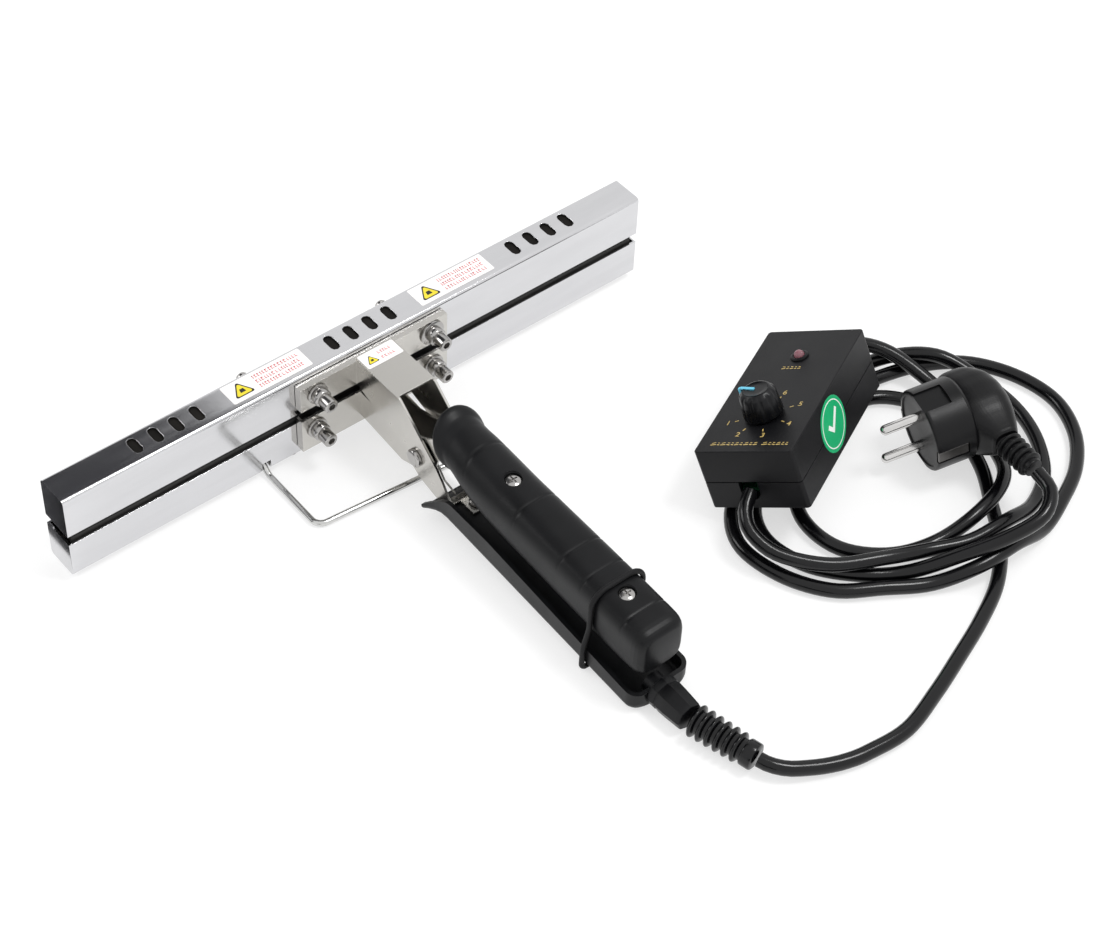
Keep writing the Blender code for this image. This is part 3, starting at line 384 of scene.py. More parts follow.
def leadCurve(name, points, node):
    route, length = smoothRoute(points, leads["step"])
    curve = bpy.data.curves.new(name, "CURVE")
    curve.dimensions, curve.bevel_depth, curve.bevel_resolution = "3D", leads["radius"] * mm, 6
    curve.use_fill_caps = True
    spline = curve.splines.new("POLY")
    spline.points.add(len(route) - 1)
    spline.points.foreach_set("co", np.c_[route * mm, np.ones(len(route))].ravel())
    spline.use_smooth = True
    curve.materials.append(cordSheath)
    ob = bpy.data.objects.new(name, curve)
    scene.collection.objects.link(ob)
    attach(ob, "tool")
    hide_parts(node)
    return ob, length * mm


toolLead, toolLeadLength = leadCurve("toolLead", leads["toolLead"], "tool_lead")
powerLead, powerLeadLength = leadCurve("powerLead", leads["powerLead"], "power_lead")
print("leads laid, %.3f m and %.3f m" % (toolLeadLength, powerLeadLength))


# ---- jaws: folded covers, heater stacks inside, bolts and washers
jaw = {"edge": 0.28, "bolts": {"upper": (32.0, 41.0), "lower": (33.0, 19.8)},
       "rides": {"upper": "tool", "lower": "lower_jaw"}, "washer": 5.2, "wideWasher": 6.4}

# solids that keep their own shape and only take a finish
plainFinish = {heaterAlloy: ("upper_heater_bar", "lower_heater_bar", "potentiometer"),
               crimpCoating: ("upper_crimp_bar", "lower_crimp_bar"),
               elementSheath: ("upper_heating_rod", "lower_heating_rod"),
               # the upper pad takes the near-black felt as painted shade inside the vent slots
               ventShadeFelt: ("upper_insulation_pad",), ceramicFelt: ("lower_insulation_pad",),
               brightZinc: ("temperature_sensor", "box_screw_1", "box_screw_2", "stand_clip_left",
                            "stand_clip_right"), springWire: ("opening_spring",),
                            clipSteel: ("lower_handle_screw",), boardLacquer: ("control_board",)}


def buildJaws():
    for level, body in jaw["rides"].items():
        refined(level + "_jaw_cover", level + "JawCover", polishedSteel, body, jaw["edge"])
    for mat, names in plainFinish.items():
        for node in names:
            nodes[node].data.materials.clear()
            nodes[node].data.materials.append(mat)


def buildBolts():
    # profiles along +Y: the bolt with its socket head and flange, its washer, and the spacer behind the plate
    bolt = [(103.4, 2.7), (103.55, 3.1), (103.9, 3.4), (105.0, 3.42), (109.1, 3.4), (109.35, 3.3),
            (109.4, 3.55), (109.6, 4.0), (110.0, 4.3), (112.9, 4.3), (113.3, 4.15), (113.5, 3.9),
            (113.52, 2.0), (120.5, 2.0), (120.8, 1.7)]
    spacer = [(116.0, 2.2), (116.0, 4.8), (116.2, 5.0), (118.9, 5.0), (119.1, 4.8), (119.1, 2.2)]
    for level, (bx, bz) in jaw["bolts"].items():
        for side, s in (("left", -1), ("right", 1)):
            wide = jaw["wideWasher"] if (level, side) == ("upper", "right") else jaw["washer"]
            washer = [(113.6, 2.2), (113.6, wide - 0.2), (113.75, wide), (114.45, wide),
                      (114.6, wide - 0.2), (114.6, 2.2)]
            at, made = (s * bx, 0, bz), {}
            for kind, profile, sides in (("bolt", bolt, 40), ("washer", washer, 48),
                                         ("spacer", spacer, 40)):
                made[kind] = piece(kind + level.capitalize() + side.capitalize(),
                                   revolve(profile, at, (0, 1, 0), sides, loop=kind != "bolt"), brightZinc,
                                   jaw["rides"][level], "%s_%s_%s" % (level, kind, side))
            cutOut(made["bolt"], revolve([(101, 1.9), (106.2, 1.9)], at, (0, 1, 0), 6))
    profile = [(0, 1.6), (2.9, 1.6), (2.92, 2.8), (3.1, 3.0), (4.2, 3.0), (4.9, 2.6), (5.4, 1.8),
               (5.58, 0.9)]
    for side, x in (("left", -56.0), ("right", 20.5)):
        crossHead("backScrew" + side.capitalize(), profile, (x, 134.0, 46.5), (0, 1, 0), profile[-1][0],
                  "tool", "back_screw_" + side)


buildJaws()
buildBolts()
print("jaws and bolts done")


# ---- crossed arms and the pivot
pivot = {"y": 71.0, "z": 22.2}


def buildArms():
    refined("upper_arm", "upperArm", satinSteel, "tool", 0.25, 2)
    refined("lower_arm", "lowerArm", satinSteel, "lower_jaw", 0.25, 2)
    pin = [(0, 2.9), (0.12, 3.5), (0.6, 4.3), (1.0, 4.5), (2.2, 4.5), (2.4, 4.3), (2.42, 3.0), (25.4, 3.0),
           (25.9, 2.6)]
    clip = [(0, 3.08), (0, 4.9), (0.12, 5.0), (0.88, 5.0), (1.0, 4.9), (1.0, 3.08)]
    piece("pivotPin", revolve(pin, (-12.8, pivot["y"], pivot["z"]), (1, 0, 0), 48), brightZinc, "tool",
          "pivot_pin")
    piece("pivotClip", revolve(clip, (10.5, pivot["y"], pivot["z"]), (1, 0, 0), 48, loop=True), brightZinc,
          "tool", "pivot_clip")
    screw = [(0, 1.0), (0.1, 1.5), (0.5, 2.2), (0.8, 2.45), (1.0, 2.5), (1.1, 2.4), (1.12, 1.2), (4.6, 1.2)]
    for side, x in (("left", -42.3), ("right", 11.3)):
        crossHead("standScrew" + side.capitalize(), screw, (x, 122.6, 2.3), (0, 0, 1), 0.9, "lower_jaw",
                  "stand_screw_" + side, 1.3, 0.5, 1.9)


# ---- wire stand, bent from one rod
stand = {"radius": 1.5, "bends": [0, 2.4, 3.0, 5.0, 5.0, 3.0, 2.4, 0],
         "corners": [(-47.0, 125, 7.0), (-58.0, 125, 7.0), (-58.0, 117.8, 1.55), (-58.6, 79.6, 1.5),
                     (27.0, 72.4, 1.5), (27.0, 117.8, 1.55), (27.0, 125, 7.0), (16.0, 125, 7.0)]}


def buildStand():
    path = rounded(stand["corners"], stand["bends"], 10, closed=False)
    piece("wireStand", carried(circleOf(stand["radius"], 20), path), springWire, "stand", "wire_stand",
          sharp=50)


buildArms()
buildStand()
print("arms and stand done")


# ---- upper grip: round at its collar, squarer towards its end
# rows: place along the handle, half width, lift and forward lean
grip = {"front": 54.0, "slope": 0.0547, "axis": 37.5, "grooves": (33.0, 1.0, -29.0, -44.0, -70.0),
        "screws": (("front", 15.8, 13.3, 4.2), ("rear", -59.6, 12.85, 12.0)), "pocketHalf": 8.6,
        "pocket": np.array([(64, 46.4), (8, 39.2), (8, 30.3), (64, 35.9)]),
        "rows": [(55.2, 11.9, 5.4, 0.45), (55.1, 12.4, 5.4, 0.45), (54.7, 12.9, 5.4, 0.45),
                 (54.1, 13.2, 5.35, 0.45), (53.3, 13.35, 5.3, 0.45), (52.4, 13.3, 5.2, 0.45),
                 (51.6, 13.1, 5.1, 0.45), (50.8, 12.75, 5.0, 0.45), (50.0, 12.4, 4.85, 0.45),
                 (49.2, 12.2, 4.7, 0.45), (48.0, 12.2, 4.45, 0.45), (44, 12.5, 3.6, 0.42),
                 (38, 13.1, 2.5, 0.35), (30, 13.4, 1.3, 0.22), (20, 13.4, 0.4, 0.08), (12, 13.3, 0, 0),
                 (-10, 13.1, 0, 0), (-45, 12.9, 0, 0), (-74, 12.8, 0, 0), (-77.5, 12.72, 0, 0),
                 (-79.5, 12.5, 0, 0), (-81.2, 12.0, 0, 0), (-82.5, 11.2, 0, 0), (-83.3, 10.2, 0, 0),
                 (-83.6, 9.2, 0, 0)]}


def gripAxis(y):
    return grip["axis"] - grip["slope"] * (grip["front"] - y)


def buildGrip():
    # half width r(y) on a superellipse whose power grows from 2 at the collar to 4.2 at the end;
    # each row is lifted and leans forward by its own amount, and shallow grooves cross its top
    rows = np.array(grip["rows"], float)
    y = np.unique(np.r_[rows[:, 0], np.arange(-82, 55, 0.6)])[::-1]
    r, lift, lean = (np.interp(y, rows[::-1, 0], rows[::-1, k])[:, None] for k in (1, 2, 3))
    t = np.linspace(0, 2 * math.pi, 96, endpoint=False)
    power = np.interp(y, [-60, 44], [4.2, 2.0])[:, None]
    c, s = np.cos(t)[None, :], np.sin(t)[None, :]
    groove = sum(np.exp(-((y - g) / 0.45) ** 2) for g in grip["grooves"])[:, None]
    r = r - 0.32 * groove * np.clip((s - 0.25) * 3, 0, 1)
    x = r * np.sign(c) * np.abs(c) ** (2 / power)
    z = r * np.sign(s) * np.abs(s) ** (2 / power)
    ob = piece("upperGrip", skin(np.dstack([x, y[:, None] + lean * z, gripAxis(y)[:, None] + lift + z])),
               gripPlastic, "lower_jaw", "upper_grip")
    # slot for the inner arm's tang, then a counterbore and a hole for each screw
    half = grip["pocketHalf"]
    cutOut(ob, skin(np.array([np.insert(grip["pocket"], 0, level, axis=1) for level in (-half, half)])))
    head = [(0, 1.5), (0, 1.5), (0.02, 3.5), (0.15, 3.7), (0.6, 3.7), (1.1, 3.0), (1.4, 1.6)]
    for name, place, half, depth in grip["screws"]:
        top = gripAxis(place) + half
        cutOut(ob, revolve([(0, 3.9), (1.3, 3.95), (1.7, 4.3), (6, 4.6)], (0, place, top - 1.7), (0, 0, 1),
                           48))
        cutOut(ob, revolve([(0, 1.75), (depth + 1.2, 1.75)], (0, place, top - 2.2 - depth), (0, 0, 1), 24))
        profile = head[:1] + [(depth + s, r) for s, r in head[1:]]
        crossHead("gripScrew" + name.capitalize(), profile, (0, place, top - 1.65 - depth), (0, 0, 1),
                  depth + 1.4, "lower_jaw", "grip_screw_" + name, 2.1, 0.75, 1.1)


# ---- lower handle: a trough open at the top, lipped at the front and closed at the rear
handle = {"wall": 2.0, "endRadius": 6.0, "rear": -86.0, "screw": 40.5}


def handleFloor(y):
    return np.interp(y, [-86, -84, -81.5, -79, 42, 46, 50, 54, 57],
                     [1.6, 0.5, 0.1, 0.0, 9.05, 8.8, 7.6, 5.8, 4.2])


def handleRings(y, inset, lift, top=None):
    # trough sections: side walls, rounded bottom corners and, near the rear, the rounded plan of the end
    width = np.interp(y, [42, 46, 50, 54, 57], [16.0, 16.1, 16.5, 17.3, 18.2]) - inset
    over = np.clip(handle["rear"] + handle["endRadius"] - y, 0, None)
    radius = handle["endRadius"] - inset
    turn = radius - np.sqrt(np.clip(radius ** 2 - np.minimum(over, radius) ** 2, 0, None))
    width = width - np.where(over > 0, turn, 0)
    low = handleFloor(y) + lift
    high = np.interp(y, [-86, -76, 13, 38, 42, 46, 50, 54, 57],
                     [10.4, 11.1, 21.2, 21.9, 21.2, 18.6, 15.0, 11.4, 8.6])
    high = np.full_like(y, top) if top else high
    r = np.minimum(4.0 - inset * 0.7, width * 0.6)
    a = np.linspace(0, math.pi / 2, 9)
    across, up = r[:, None] * (1 - np.cos(a)), r[:, None] * (1 - np.sin(a))
    left = np.stack([across - width[:, None], low[:, None] + up], -1)
    right = left[:, ::-1] * (-1, 1)
    rim = np.stack([width, high], -1)[:, None]
    section = np.concatenate([rim * (-1, 1), left, right, rim], axis=1)
    depth = np.broadcast_to(y[:, None, None], (*section.shape[:2], 1))
    return np.concatenate([section[..., :1], depth, section[..., 1:]], axis=2)


def buildHandle():
    # sections close together at the flared lip and round the rear end, outside and then inside
    rearTurn = 5.9 * (1 - np.sin(np.linspace(0.05, 1.55, 15)))
    y = np.r_[np.arange(57.0, 43.0, -1.0), 42, 40, 38, 13, -20, -50, -76, -79, -80,
              handle["rear"] + rearTurn]
    ob = piece("lowerHandle", skin(handleRings(y, 0.0, 0.0)), handlePlastic, "tool", "lower_handle",
               edges=0.45)
    innerTurn = 3.9 * (1 - np.sin(np.linspace(0.0, 1.57, 12)))
    inner = np.r_[58.5, y[1:22], handle["rear"] + handle["wall"] + innerTurn]
    cutOut(ob, skin(handleRings(inner, handle["wall"], handle["wall"], 40.0)))
    screwHole, leadHole = [(0, 1.6), (20, 1.6)], [(0, 5.15), (20, 5.15)]
    cutOut(ob, revolve(screwHole, (0, handle["screw"], 3), (0, 0, 1), 24))
    cutOut(ob, revolve(leadHole, (-2, -92, 8.0), (0, 1, 0), 32))


# ---- cable gland and its ribbed boot
def ribbed(length, ribs, root, crest, collar):
    # each rib rises on a half sine from the root line and falls back to it
    profile, pitch = [(0, root - 0.3)], (length - collar) / ribs
    for k in range(ribs):
        s, w = 0.3 + k * pitch, np.linspace(0, 1, 9)
        lift = np.sin(np.pi * w) ** 0.6
        profile += list(zip(s + w * pitch * 0.66, root + (crest - root) * lift))
        profile.append((s + pitch * 0.84, root))
        crest, root = crest - 0.12, root - 0.08
    return profile, root


def buildGland():
    rings = [(0, 5.0), (6.0, 5.0), (6.02, 7.3), (6.2, 7.7), (6.5, 7.85), (9.4, 7.85), (9.8, 7.7),
             (10.0, 7.4), (10.4, 7.4), (11.5, 7.8), (16, 7.6), (22.5, 7.05), (24.2, 6.9), (24.8, 6.6),
             (25.0, 6.0)]

    def eightFlats(p, t):
        # flats on the outside, fading to round on the neck
        flat = np.cos(math.pi / 8) / np.cos((t % (math.pi / 4)) - math.pi / 8)
        share = np.clip((p[:, 0] - 5.5) / 1.0, 0, 1)[:, None]
        return 1 + share * (flat / flat.max() - 1) * 0.9

    piece("glandBody", revolve(rings, (-2, -80.2, 8.0), (0, -1, 0), 96, wave=eightFlats), handlePlastic,
          "tool", "gland_body", sharp=30)
    start, end = np.array([-1.5, -106.9, 8.1]), np.array([6.2, -137.1, 7.2])
    length = float(np.linalg.norm(end - start))
    profile, root = ribbed(length, 6, 5.4, 7.6, 6.2)
    profile += [(length - 5.6, root), (length - 5.5, 5.8), (length - 5.2, 6.1), (length - 4.8, 6.2),
                (length - 0.8, 6.2), (length - 0.3, 6.0), (length, 5.4)]
    piece("strainReliefBoot", revolve(profile, start, end - start, 56), cordSheath, "tool",
          "strain_relief_boot")


# ---- elastic loop round both handles
loop = {"y": -53.5, "low": 17.35, "high": 14.35, "top": 45.95, "base": 0.96}


def buildLoop():
    # close round the grip, spreading to the lower handle's walls, pressed flat under it
    right = [(loop["low"], loop["base"]), (loop["low"], 13.5), (loop["high"], 25.0),
             (loop["high"], loop["top"])]
    bends = [3.0, 14.0, 14.0, 8.5]
    corner = rounded(right + [(-x, z) for x, z in right[::-1]], bends + bends[::-1], 12)
    path = np.insert(corner, 1, loop["y"], axis=1)
    along = np.roll(path, -1, 0) - np.roll(path, 1, 0)
    along /= np.linalg.norm(along, axis=1)[:, None]
    outward = np.cross(along, (0.0, 1.0, 0.0))
    thin = np.where(path[:, 2] < loop["base"] + 0.2, 0.84, 1.2)
    t = np.linspace(0, 2 * math.pi, 16, endpoint=False)
    rings = path[:, None] + np.cos(t)[None, :, None] * np.array([0, 1.25, 0]) \
        + np.sin(t)[None, :, None] * thin[:, None, None] * outward[:, None]
    band = piece("retainingLoop", skin(rings, loop=True), elasticCord, None, "retaining_loop", sharp=60)
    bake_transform(band)


buildGrip()
buildHandle()
buildGland()
buildLoop()
print("handles, gland and loop done")


# ---- heat control box, leaning on the coiled lead
def turnMatrix(rx, ry, rz):
    # about Y first, then X, then Z, in degrees
    cx, sx, cy, sy, cz, sz = (f(math.radians(a)) for a in (rx, ry, rz) for f in (math.cos, math.sin))
    aboutX = np.array([[1, 0, 0], [0, cx, -sx], [0, sx, cx]])
    aboutY = np.array([[cy, 0, sy], [0, 1, 0], [-sy, 0, cy]])
    aboutZ = np.array([[cz, -sz, 0], [sz, cz, 0], [0, 0, 1]])
    return aboutZ @ aboutX @ aboutY


box = {"turn": turnMatrix(-4.0, -24.71, -64.31), "at": np.array([84.5, -23.3, 7.3]), "width": 48.0,
       "height": 31.0, "knob": (24.0, 27.6), "lamp": (24.0, 72.0), "dialRadius": 16.6, "pointer": 174.0,
       "dial": {1: 203.0, 2: 245.0, 3: 289.0, 4: 334.0, 5: 26.0, 6: 76.5}}


def inBox(body):
    return body[0] @ box["turn"].T + box["at"], body[1]


def glyph(text, size, x, y, level):
    # a dial figure as a thin flat mesh on the lid
    curve = bpy.data.curves.new("dialFigure", "FONT")
    curve.body, curve.size, curve.extrude = text, size, 0.03
    curve.align_x, curve.align_y = "CENTER", "CENTER"
    ob = bpy.data.objects.new("dialFigure", curve)
    scene.collection.objects.link(ob)
    mesh = bpy.data.meshes.new_from_object(ob.evaluated_get(bpy.context.evaluated_depsgraph_get()))
    bpy.data.objects.remove(ob)
    co = np.zeros(len(mesh.vertices) * 3)
    mesh.vertices.foreach_get("co", co)
    co = co.reshape(-1, 3) + (x, y, level)
    faces = [list(p.vertices) for p in mesh.polygons]
    bpy.data.meshes.remove(mesh)
    return co, faces


def rectangle(x0, x1, y0, y1):
    return np.array([(x0, y0), (x1, y0), (x1, y1), (x0, y1)])


def turned(outline, angle, at):
    # flat outline turned by an angle in degrees and then moved to a place
    a = math.radians(angle)
    return outline @ np.array([[math.cos(a), math.sin(a)], [-math.sin(a), math.cos(a)]]) + at


def bar(cx, cy, length, width, angle, level, thick=0.05):
    # thin flat bar on the lid, turned by angle
    shape = rectangle(-length / 2, length / 2, -width / 2, width / 2)
    return slab(turned(shape, angle, (cx, cy)), level, level + thick)


def buildBox():
    h = box["height"]
    refined("control_box_lid", "controlBoxLid", boxPlastic, "tool", 0.7, 3)
    refined("control_box_base", "controlBoxBase", boxPlastic, "tool", 0.5, 3)
    kx, ky = box["knob"]
    profile = [(0.5, 8.3), (0.6, 8.55), (1.3, 9.15), (1.6, 9.25), (11.4, 8.45), (12.2, 8.1), (12.9, 7.4),
               (13.5, 6.7), (13.9, 6.3), (14.05, 5.8), (13.7, 5.3), (13.6, 3.0)]

    def fluted(p, t):
        # twelve shallow finger flutes that fade out at the skirt and the crown
        dip = np.clip(np.cos(12 * t) * 1.6 - 0.2, 0, 1)[None, :]
        share = (np.clip((p[:, 0] - 1.4) / 1.4, 0, 1) * np.clip((13.4 - p[:, 0]) / 1.2, 0, 1))[:, None]
        return 1 - 0.065 * dip * share

    knob = piece("controlKnob", inBox(revolve(profile, (kx, ky, h), (0, 0, 1), 144, wave=fluted)),
                 knobPlastic, "knob", "control_knob", sharp=45)
    cutOut(knob, inBox(revolve([(0, 3.1), (11.5, 3.1)], (kx, ky, h - 0.5), (0, 0, 1), 32)))
    # pointer line: along the knob's top and down its flank
    top = h + 13.6
    for name, near, far, low, high in (("Top", 0.8, 8.0, top - 0.15, top + 0.62),
                                       ("Side", 7.7, 9.0, h + 2.2, top + 0.3)):
        mark = turned(rectangle(near, far, -0.75, 0.75), box["pointer"], (kx, ky))
        piece("knobPointer" + name, inBox(slab(mark, low, high)), pointerBlue, "knob", edges=0.15)
    lx, ly = box["lamp"]
    t = np.linspace(0, math.pi / 2, 10)
    lamp = [(0, 2.45), (6.4, 2.45)] + list(zip(6.4 + 2.5 * np.sin(t), 2.45 * np.cos(t) + 0.05))
    piece("powerLamp", inBox(revolve(lamp, (lx, ly, 25.4), (0, 0, 1), 40)), lampLens, "tool", "power_lamp")
    bezel = [(0, 2.75), (0, 4.2), (0.15, 4.3), (0.6, 4.2), (0.9, 3.7), (1.0, 3.2), (0.9, 2.75)]
    piece("lampBezel", inBox(revolve(bezel, (lx, ly, h + 0.1), (0, 0, 1), 48, loop=True)), boxPlastic,
          "tool", "lamp_bezel")


def buildPrint():
    # dial figures and ticks, and plain printed strokes where a maker would put words
    h, (kx, ky) = box["height"] + 0.02, box["knob"]
    marks = []
    for number, angle in box["dial"].items():
        a = math.radians(angle)
        marks.append(glyph(str(number), 4.4, kx + box["dialRadius"] * math.cos(a),
                           ky + box["dialRadius"] * math.sin(a), h + 0.03))
        marks.append(bar(kx + 12.6 * math.cos(a), ky + 12.6 * math.sin(a), 1.8, 0.5, angle, h))
    x = 6.5
    for length in (2.6, 1.2, 2.4, 1.6, 1.2, 2.0, 1.4, 2.2, 1.3, 1.9, 0, 2.6, 1.3, 1.5, 2.0, 1.2, 1.4):
        if length:
            marks.append(bar(x + length / 2, 5.2, length, 0.55, 8 if length > 1.8 else -12, h))
            marks.append(bar(x + length / 2, 6.5, length * 0.7, 0.4, 20 if length > 1.8 else -8, h))
        x += (length or 1.2) + 0.55
    x = 18.6
    for length in (1.8, 1.1, 1.6, 1.0, 1.4):
        marks.append(bar(x + length / 2, 62.6, length, 0.45, 10, h))
        marks.append(bar(x + length / 2, 63.9, length * 0.7, 0.4, -14, h))
        x += length + 0.6
    piece("panelPrint", inBox(several(*marks)), goldPrint, "tool", sharp=60)


def buildSeal():
    # round inspection seal on the long side wall, with a plain tick
    turn = box["turn"] @ np.column_stack([(0, 1, 0), (0, 0, 1), (1, 0, 0)])
    at = box["turn"] @ np.array([box["width"], 41.0, 15.5]) + box["at"]
    disc = circleOf(13.0, 72)
    piece("sideSeal", slab(disc, 0.03, 0.16, turn, at), sealGreen, "tool", edges=0.04)
    tick = np.array([(-5.6, 0.6), (-4.0, 2.0), (-1.4, -0.9), (4.9, 5.8), (6.2, 4.5), (-1.3, -3.7)]) * 1.05
    v, f = revolve([(0.16, 10.8), (0.16, 11.3), (0.22, 11.3), (0.22, 10.8)], (0, 0, 0), (0, 0, 1), 72,
                   loop=True)
    piece("sealRing", (v @ turn.T + at, f), sealWhite, "tool", sharp=60)
    piece("sealTick", slab(tick, 0.16, 0.24, turn, at), sealWhite, "tool", sharp=60)


buildBox()
buildPrint()
buildSeal()
print("control box done")


# ---- labels on the jaws and the arm
labels = {"jaw": {"size": (42.0, 12.3), "at": ((-49.0, 128.75), (54.0, 128.75)), "level": 50.5},
          "arm": {"size": (19.4, 9.6), "at": (0.0, 110.6), "level": 49.0}}


def warnTriangle(cx, cy, side, level):
    # upright triangle with rounded corners, black below and a smaller yellow one on it
    height = side * math.sqrt(3) / 2
    outline = np.array([(-side / 2, -height / 3), (side / 2, -height / 3), (0, 2 * height / 3)])
    black = slab(rounded(outline, side * 0.08, 5) + (cx, cy), level, level + 0.03)
    yellow = slab(rounded(outline * 0.80, side * 0.07, 5) + (cx, cy), level + 0.02, level + 0.05)
    stroke = slab(np.array([(-0.32, -0.16), (0.32, -0.16), (0.22, 0.34),
                            (-0.22, 0.34)]) * side * 0.42 + (cx, cy - side * 0.02), level + 0.04,
                            level + 0.07)
    return black, yellow, stroke


def labelStrokes(x0, x1, rows, level, seed):
    # short slanting dashes in rows; plain marks, not letters
    rng = np.random.default_rng(seed)
    out = []
    for y, height in rows:
        x = x0
        while x < x1:
            length = rng.uniform(0.5, 1.3)
            shapes = [[(x, y), (x + length, y + 0.05), (x + length, y + 0.35), (x, y + 0.3)],
                      rectangle(x + 0.1, x + 0.42, y, y + height)]
            if rng.random() < 0.6:
                shapes.append(rectangle(x, x + length * 0.9, y + height * 0.72, y + height))
            out += [slab(shape, level, level + 0.03) for shape in shapes]
            x += length + rng.uniform(0.35, 0.75)
    return out


def label(prefix, tail, centre, size, warn, rows, margins, level, seed):
    # white label, a warning triangle at its left, and rows of marks in the rest
    (x, y), (w, d) = centre, size
    corners = rounded(rectangle(x - w / 2, x + w / 2, y - d / 2, y + d / 2), 0.8, 6)
    base, top = level + 0.02, level + 0.02 + 0.12
    piece(prefix + "Label" + tail, slab(corners, base, top), labelPaper, "tool", edges=0.04)
    across, drop, side = warn
    black, yellow, stroke = warnTriangle(x - w / 2 + across, y - drop, side, top)
    piece(prefix + "Warn" + tail, several(black, stroke), labelBlack, "tool", sharp=60)
    piece(prefix + "WarnFill" + tail, yellow, labelYellow, "tool", sharp=60)
    strokes = labelStrokes(x - w / 2 + margins[0], x + w / 2 - margins[1],
                           [(y + up, tall) for up, tall in rows], top, seed)
    piece(prefix + "Marks" + tail, several(*strokes), labelRed, "tool", sharp=60)


def buildLabels():
    for tail, centre, seed in zip(("Left", "Right"), labels["jaw"]["at"], (3, 8)):
        label("jaw", tail, centre, labels["jaw"]["size"], (7.6, 0.9, 10.6),
              ((2.3, 1.9), (-0.9, 1.9), (-4.1, 1.9)), (15.5, 3.0), labels["jaw"]["level"], seed)
    label("arm", "", labels["arm"]["at"], labels["arm"]["size"], (4.6, 1.0, 6.2), ((0.9, 1.6), (-2.6, 1.5)),
          (9.2, 3.4), labels["arm"]["level"], 5)


buildLabels()
print("labels done")


# ---- angled mains plug
def plugTurn(out, pitch):
    # turning matrix from where the pins point and the line through both pins
    out, pitch = np.array(out) / np.linalg.norm(out), np.array(pitch)
    pitch = pitch - out * (out @ pitch)
    pitch = pitch / np.linalg.norm(pitch)
    return np.column_stack([-out, np.cross(out, pitch), pitch])


plug = {"face": np.array([179.6, -55.2, 22.5]),
        "turn": plugTurn((-0.941, 0.301, -0.154), (0.136, -0.080, -0.987)), "pinHalfPitch": 9.5}


def inPlug(body):
    return body[0] @ plug["turn"].T + plug["face"], body[1]


def buildPlug():
    # a axis runs back from the face, b towards the lead, c across both pins
    face = [(0.6, 15.6), (0.6, 17.0), (0.0, 17.2), (0.0, 18.5), (0.25, 19.1), (0.8, 19.45), (2.0, 19.5),
            (18.9, 19.5), (19.5, 19.3), (19.9, 18.9), (20.6, 18.4)]
    body = piece("plugBody", inPlug(revolve(face, (0, 0, 0), (1, 0, 0), 96)), plugPlastic, "tool",
                 "plug_body", edges=0.35)
    knots = np.array([(-19.0, 18.6, 24.5, 6.0), (-18.6, 17.6, 27.0, 9.0), (-17.6, 16.2, 30.8, 11.9),
                      (-14, 15, 36, 14.6), (-8, 15, 40.2, 16.3), (0, 15, 41.9, 17), (8, 15.5, 41.8, 16.4),
                      (14, 17, 40.8, 14.4), (19, 20.5, 39.2, 11.2), (22.5, 24, 37.8, 8.6),
                      (24.2, 25.2, 37.2, 7.4), (24.5, 25.6, 36.8, 7.0)])
    b = np.linspace(-19.0, 24.5, 56)
    a0, a1, c = (np.interp(b, knots[:, 0], knots[:, k]) for k in (1, 2, 3))
    blurred = [np.convolve(np.pad(q, 2, mode="edge"), np.ones(5) / 5, "valid") for q in (a0, a1, c)]
    a0, a1, c = (np.r_[q[0], s[1:-1], q[-1]] for q, s in zip((a0, a1, c), blurred))
    t = np.linspace(0, 2 * math.pi, 72, endpoint=False)
    ct, st = np.cos(t)[None, :], np.sin(t)[None, :]
    x = ((a0 + a1) / 2)[:, None] + ((a1 - a0) / 2)[:, None] * np.sign(ct) * np.abs(ct) ** (2 / 3.2)
    z = c[:, None] * np.sign(st) * np.abs(st) ** (2 / 3.2)
    cutOut(body, inPlug(skin(np.dstack([x, np.broadcast_to(b[:, None], x.shape), z]))), "UNION")
    start, end = np.array([30.9, 22.5, 0.0]), np.array([34.5, 43.4, 0.0])
    length = float(np.linalg.norm(end - start))
    ribs, root = ribbed(length - 2.0, 5, 4.9, 6.7, 1.5)
    profile = [(0, 6.0)] + [(s + 2.2, r) for s, r in ribs] + [(length - 0.5, root),
                                                              (length - 0.2, root - 0.1),
                                                              (length, root - 0.4)]
    cutOut(body, inPlug(revolve(profile, start, end - start, 48)), "UNION")
    # holes for the pins, grooves for the earth clips, flats for the guides, and a thumb recess at the back
    half = plug["pinHalfPitch"]
    holes = [revolve([(0, 2.5), (17, 2.5)], (-2, 0, s * half), (1, 0, 0), 32) for s in (-1, 1)]
    grooves = [slab(rectangle(-2, 15.5, lo, hi), -3.4, 3.4) for lo, hi in ((-22, -17.4), (17.4, 22))]
    guides = [slab(rectangle(-1, 13.5, -6.2, 6.2), lo, hi) for lo, hi in ((17.6, 22), (-22, -17.6))]
    thumb = [slab([(44.5, -3.6), (40.6, -3.6), (40.6, 3.6), (44.5, 3.6)], -8.5, 8.5)]
    for cuts in (holes, grooves, guides, thumb):
        cutOut(body, inPlug(several(*cuts)))
    for side, s in (("A", -1), ("B", 1)):
        pin = [(0, 0.6), (0.15, 1.2), (0.6, 1.8), (1.2, 2.2), (2.0, 2.4), (33.5, 2.4)]
        piece("plugPin" + side, inPlug(revolve(pin, (-19, 0, s * half), (1, 0, 0), 48)), pinNickel, "tool",
              "plug_pin_" + side.lower())
        low, high = sorted((s * 17.6, s * 18.9))
        clip = slab(rectangle(0.3, 15.2, low, high), -3.0, 3.0)
        piece("earthClip" + side, inPlug(clip), clipSteel, "tool", "earth_clip_" + side.lower(), edges=0.25)


buildPlug()
print("plug done")


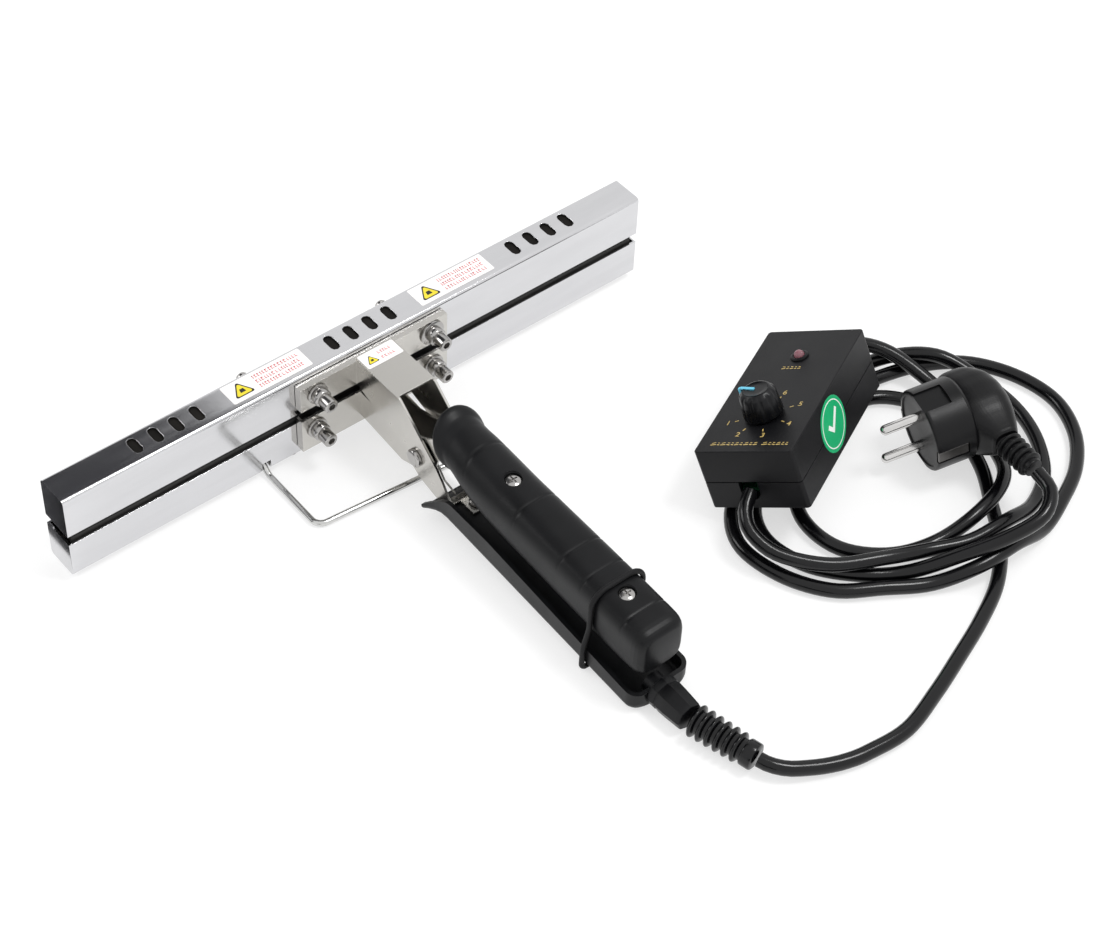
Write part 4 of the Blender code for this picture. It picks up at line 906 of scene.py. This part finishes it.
# ---- bench, lights and sky
studio = {"sky": (1.0, 1.0, 1.0), "skyPower": 0.95, "floor": 0.42, "floorGlow": 0.60, "benchHalf": 3.0,
          "cardColour": (0.065, 0.065, 0.07, 1),
          "lights": (("keyLight", (0.5, -0.4, 1.5), (0.05, 0, 0), 0.4, 9.0),
                     ("rimLight", (-0.9, 1.1, 0.9), (0.0, 0.05, 0), 0.6, 5.0)),
                     "cards": (("darkCard", ((-2.6, 0.5, 1.3), (0.53, 0.5, 1.3), (0.58, 2.4, 1.3),
                                             (-2.6, 2.4, 1.3))),
                                             ("lowCard", ((-1.4, -1.6, 0.02), (-1.4, -0.6, 0.02),
                                                          (-1.4, -0.6, 0.5), (-1.4, -1.6, 0.5))),
                                                          ("endCard", ((-0.166, 0.10, 0.0005),
                                                                       (-0.166, 0.20, 0.0005),
                                                                       (-0.166, 0.20, 0.07),
                                                                       (-0.166, 0.10, 0.07))))}


def buildStudio():
    mesh = bpy.data.meshes.new("bench")
    half = studio["benchHalf"]
    mesh.from_pydata([(x, y, -0.0003) for x, y in rectangle(-half, half, -half, half)], [], [(0, 1, 2, 3)])
    floor = bpy.data.objects.new("bench", mesh)
    scene.collection.objects.link(floor)
    mat = bpy.data.materials.new("benchWhite")
    mat.use_nodes = True
    shader = mat.node_tree.nodes["Principled BSDF"]
    shader.inputs["Base Color"].default_value = (studio["floor"],) * 3 + (1,)
    shader.inputs["Roughness"].default_value = 0.9
    shader.inputs["Specular IOR Level"].default_value = 0.1
    shader.inputs["Emission Color"].default_value = (1, 1, 1, 1)
    shader.inputs["Emission Strength"].default_value = studio["floorGlow"]
    mesh.materials.append(mat)
    world = bpy.data.worlds.new("studio")
    scene.world = world
    world.use_nodes = True
    world.node_tree.nodes["Background"].inputs["Color"].default_value = (*studio["sky"], 1)
    world.node_tree.nodes["Background"].inputs["Strength"].default_value = studio["skyPower"]
    for name, place, aim, size, power in studio["lights"]:
        data = bpy.data.lights.new(name, "AREA")
        data.energy, data.size = power, size
        lamp = bpy.data.objects.new(name, data)
        lamp.location = place
        lamp.rotation_euler = (Vector(aim) - Vector(place)).to_track_quat("-Z", "Y").to_euler()
        scene.collection.objects.link(lamp)
    # cards that only reflections see
    for name, corners in studio["cards"]:
        mesh = bpy.data.meshes.new(name)
        mesh.from_pydata(corners, [], [(0, 1, 2, 3)])
        card = bpy.data.objects.new(name, mesh)
        scene.collection.objects.link(card)
        card.visible_camera = card.visible_diffuse = card.visible_shadow = card.visible_transmission = False
        mat = bpy.data.materials.new(name)
        mat.use_nodes = True
        shader = mat.node_tree.nodes["Principled BSDF"]
        shader.inputs["Base Color"].default_value = studio["cardColour"]
        shader.inputs["Specular IOR Level"].default_value = 0.0
        mesh.materials.append(mat)
    scene.view_settings.view_transform = "Standard"


buildStudio()
print("studio lit")
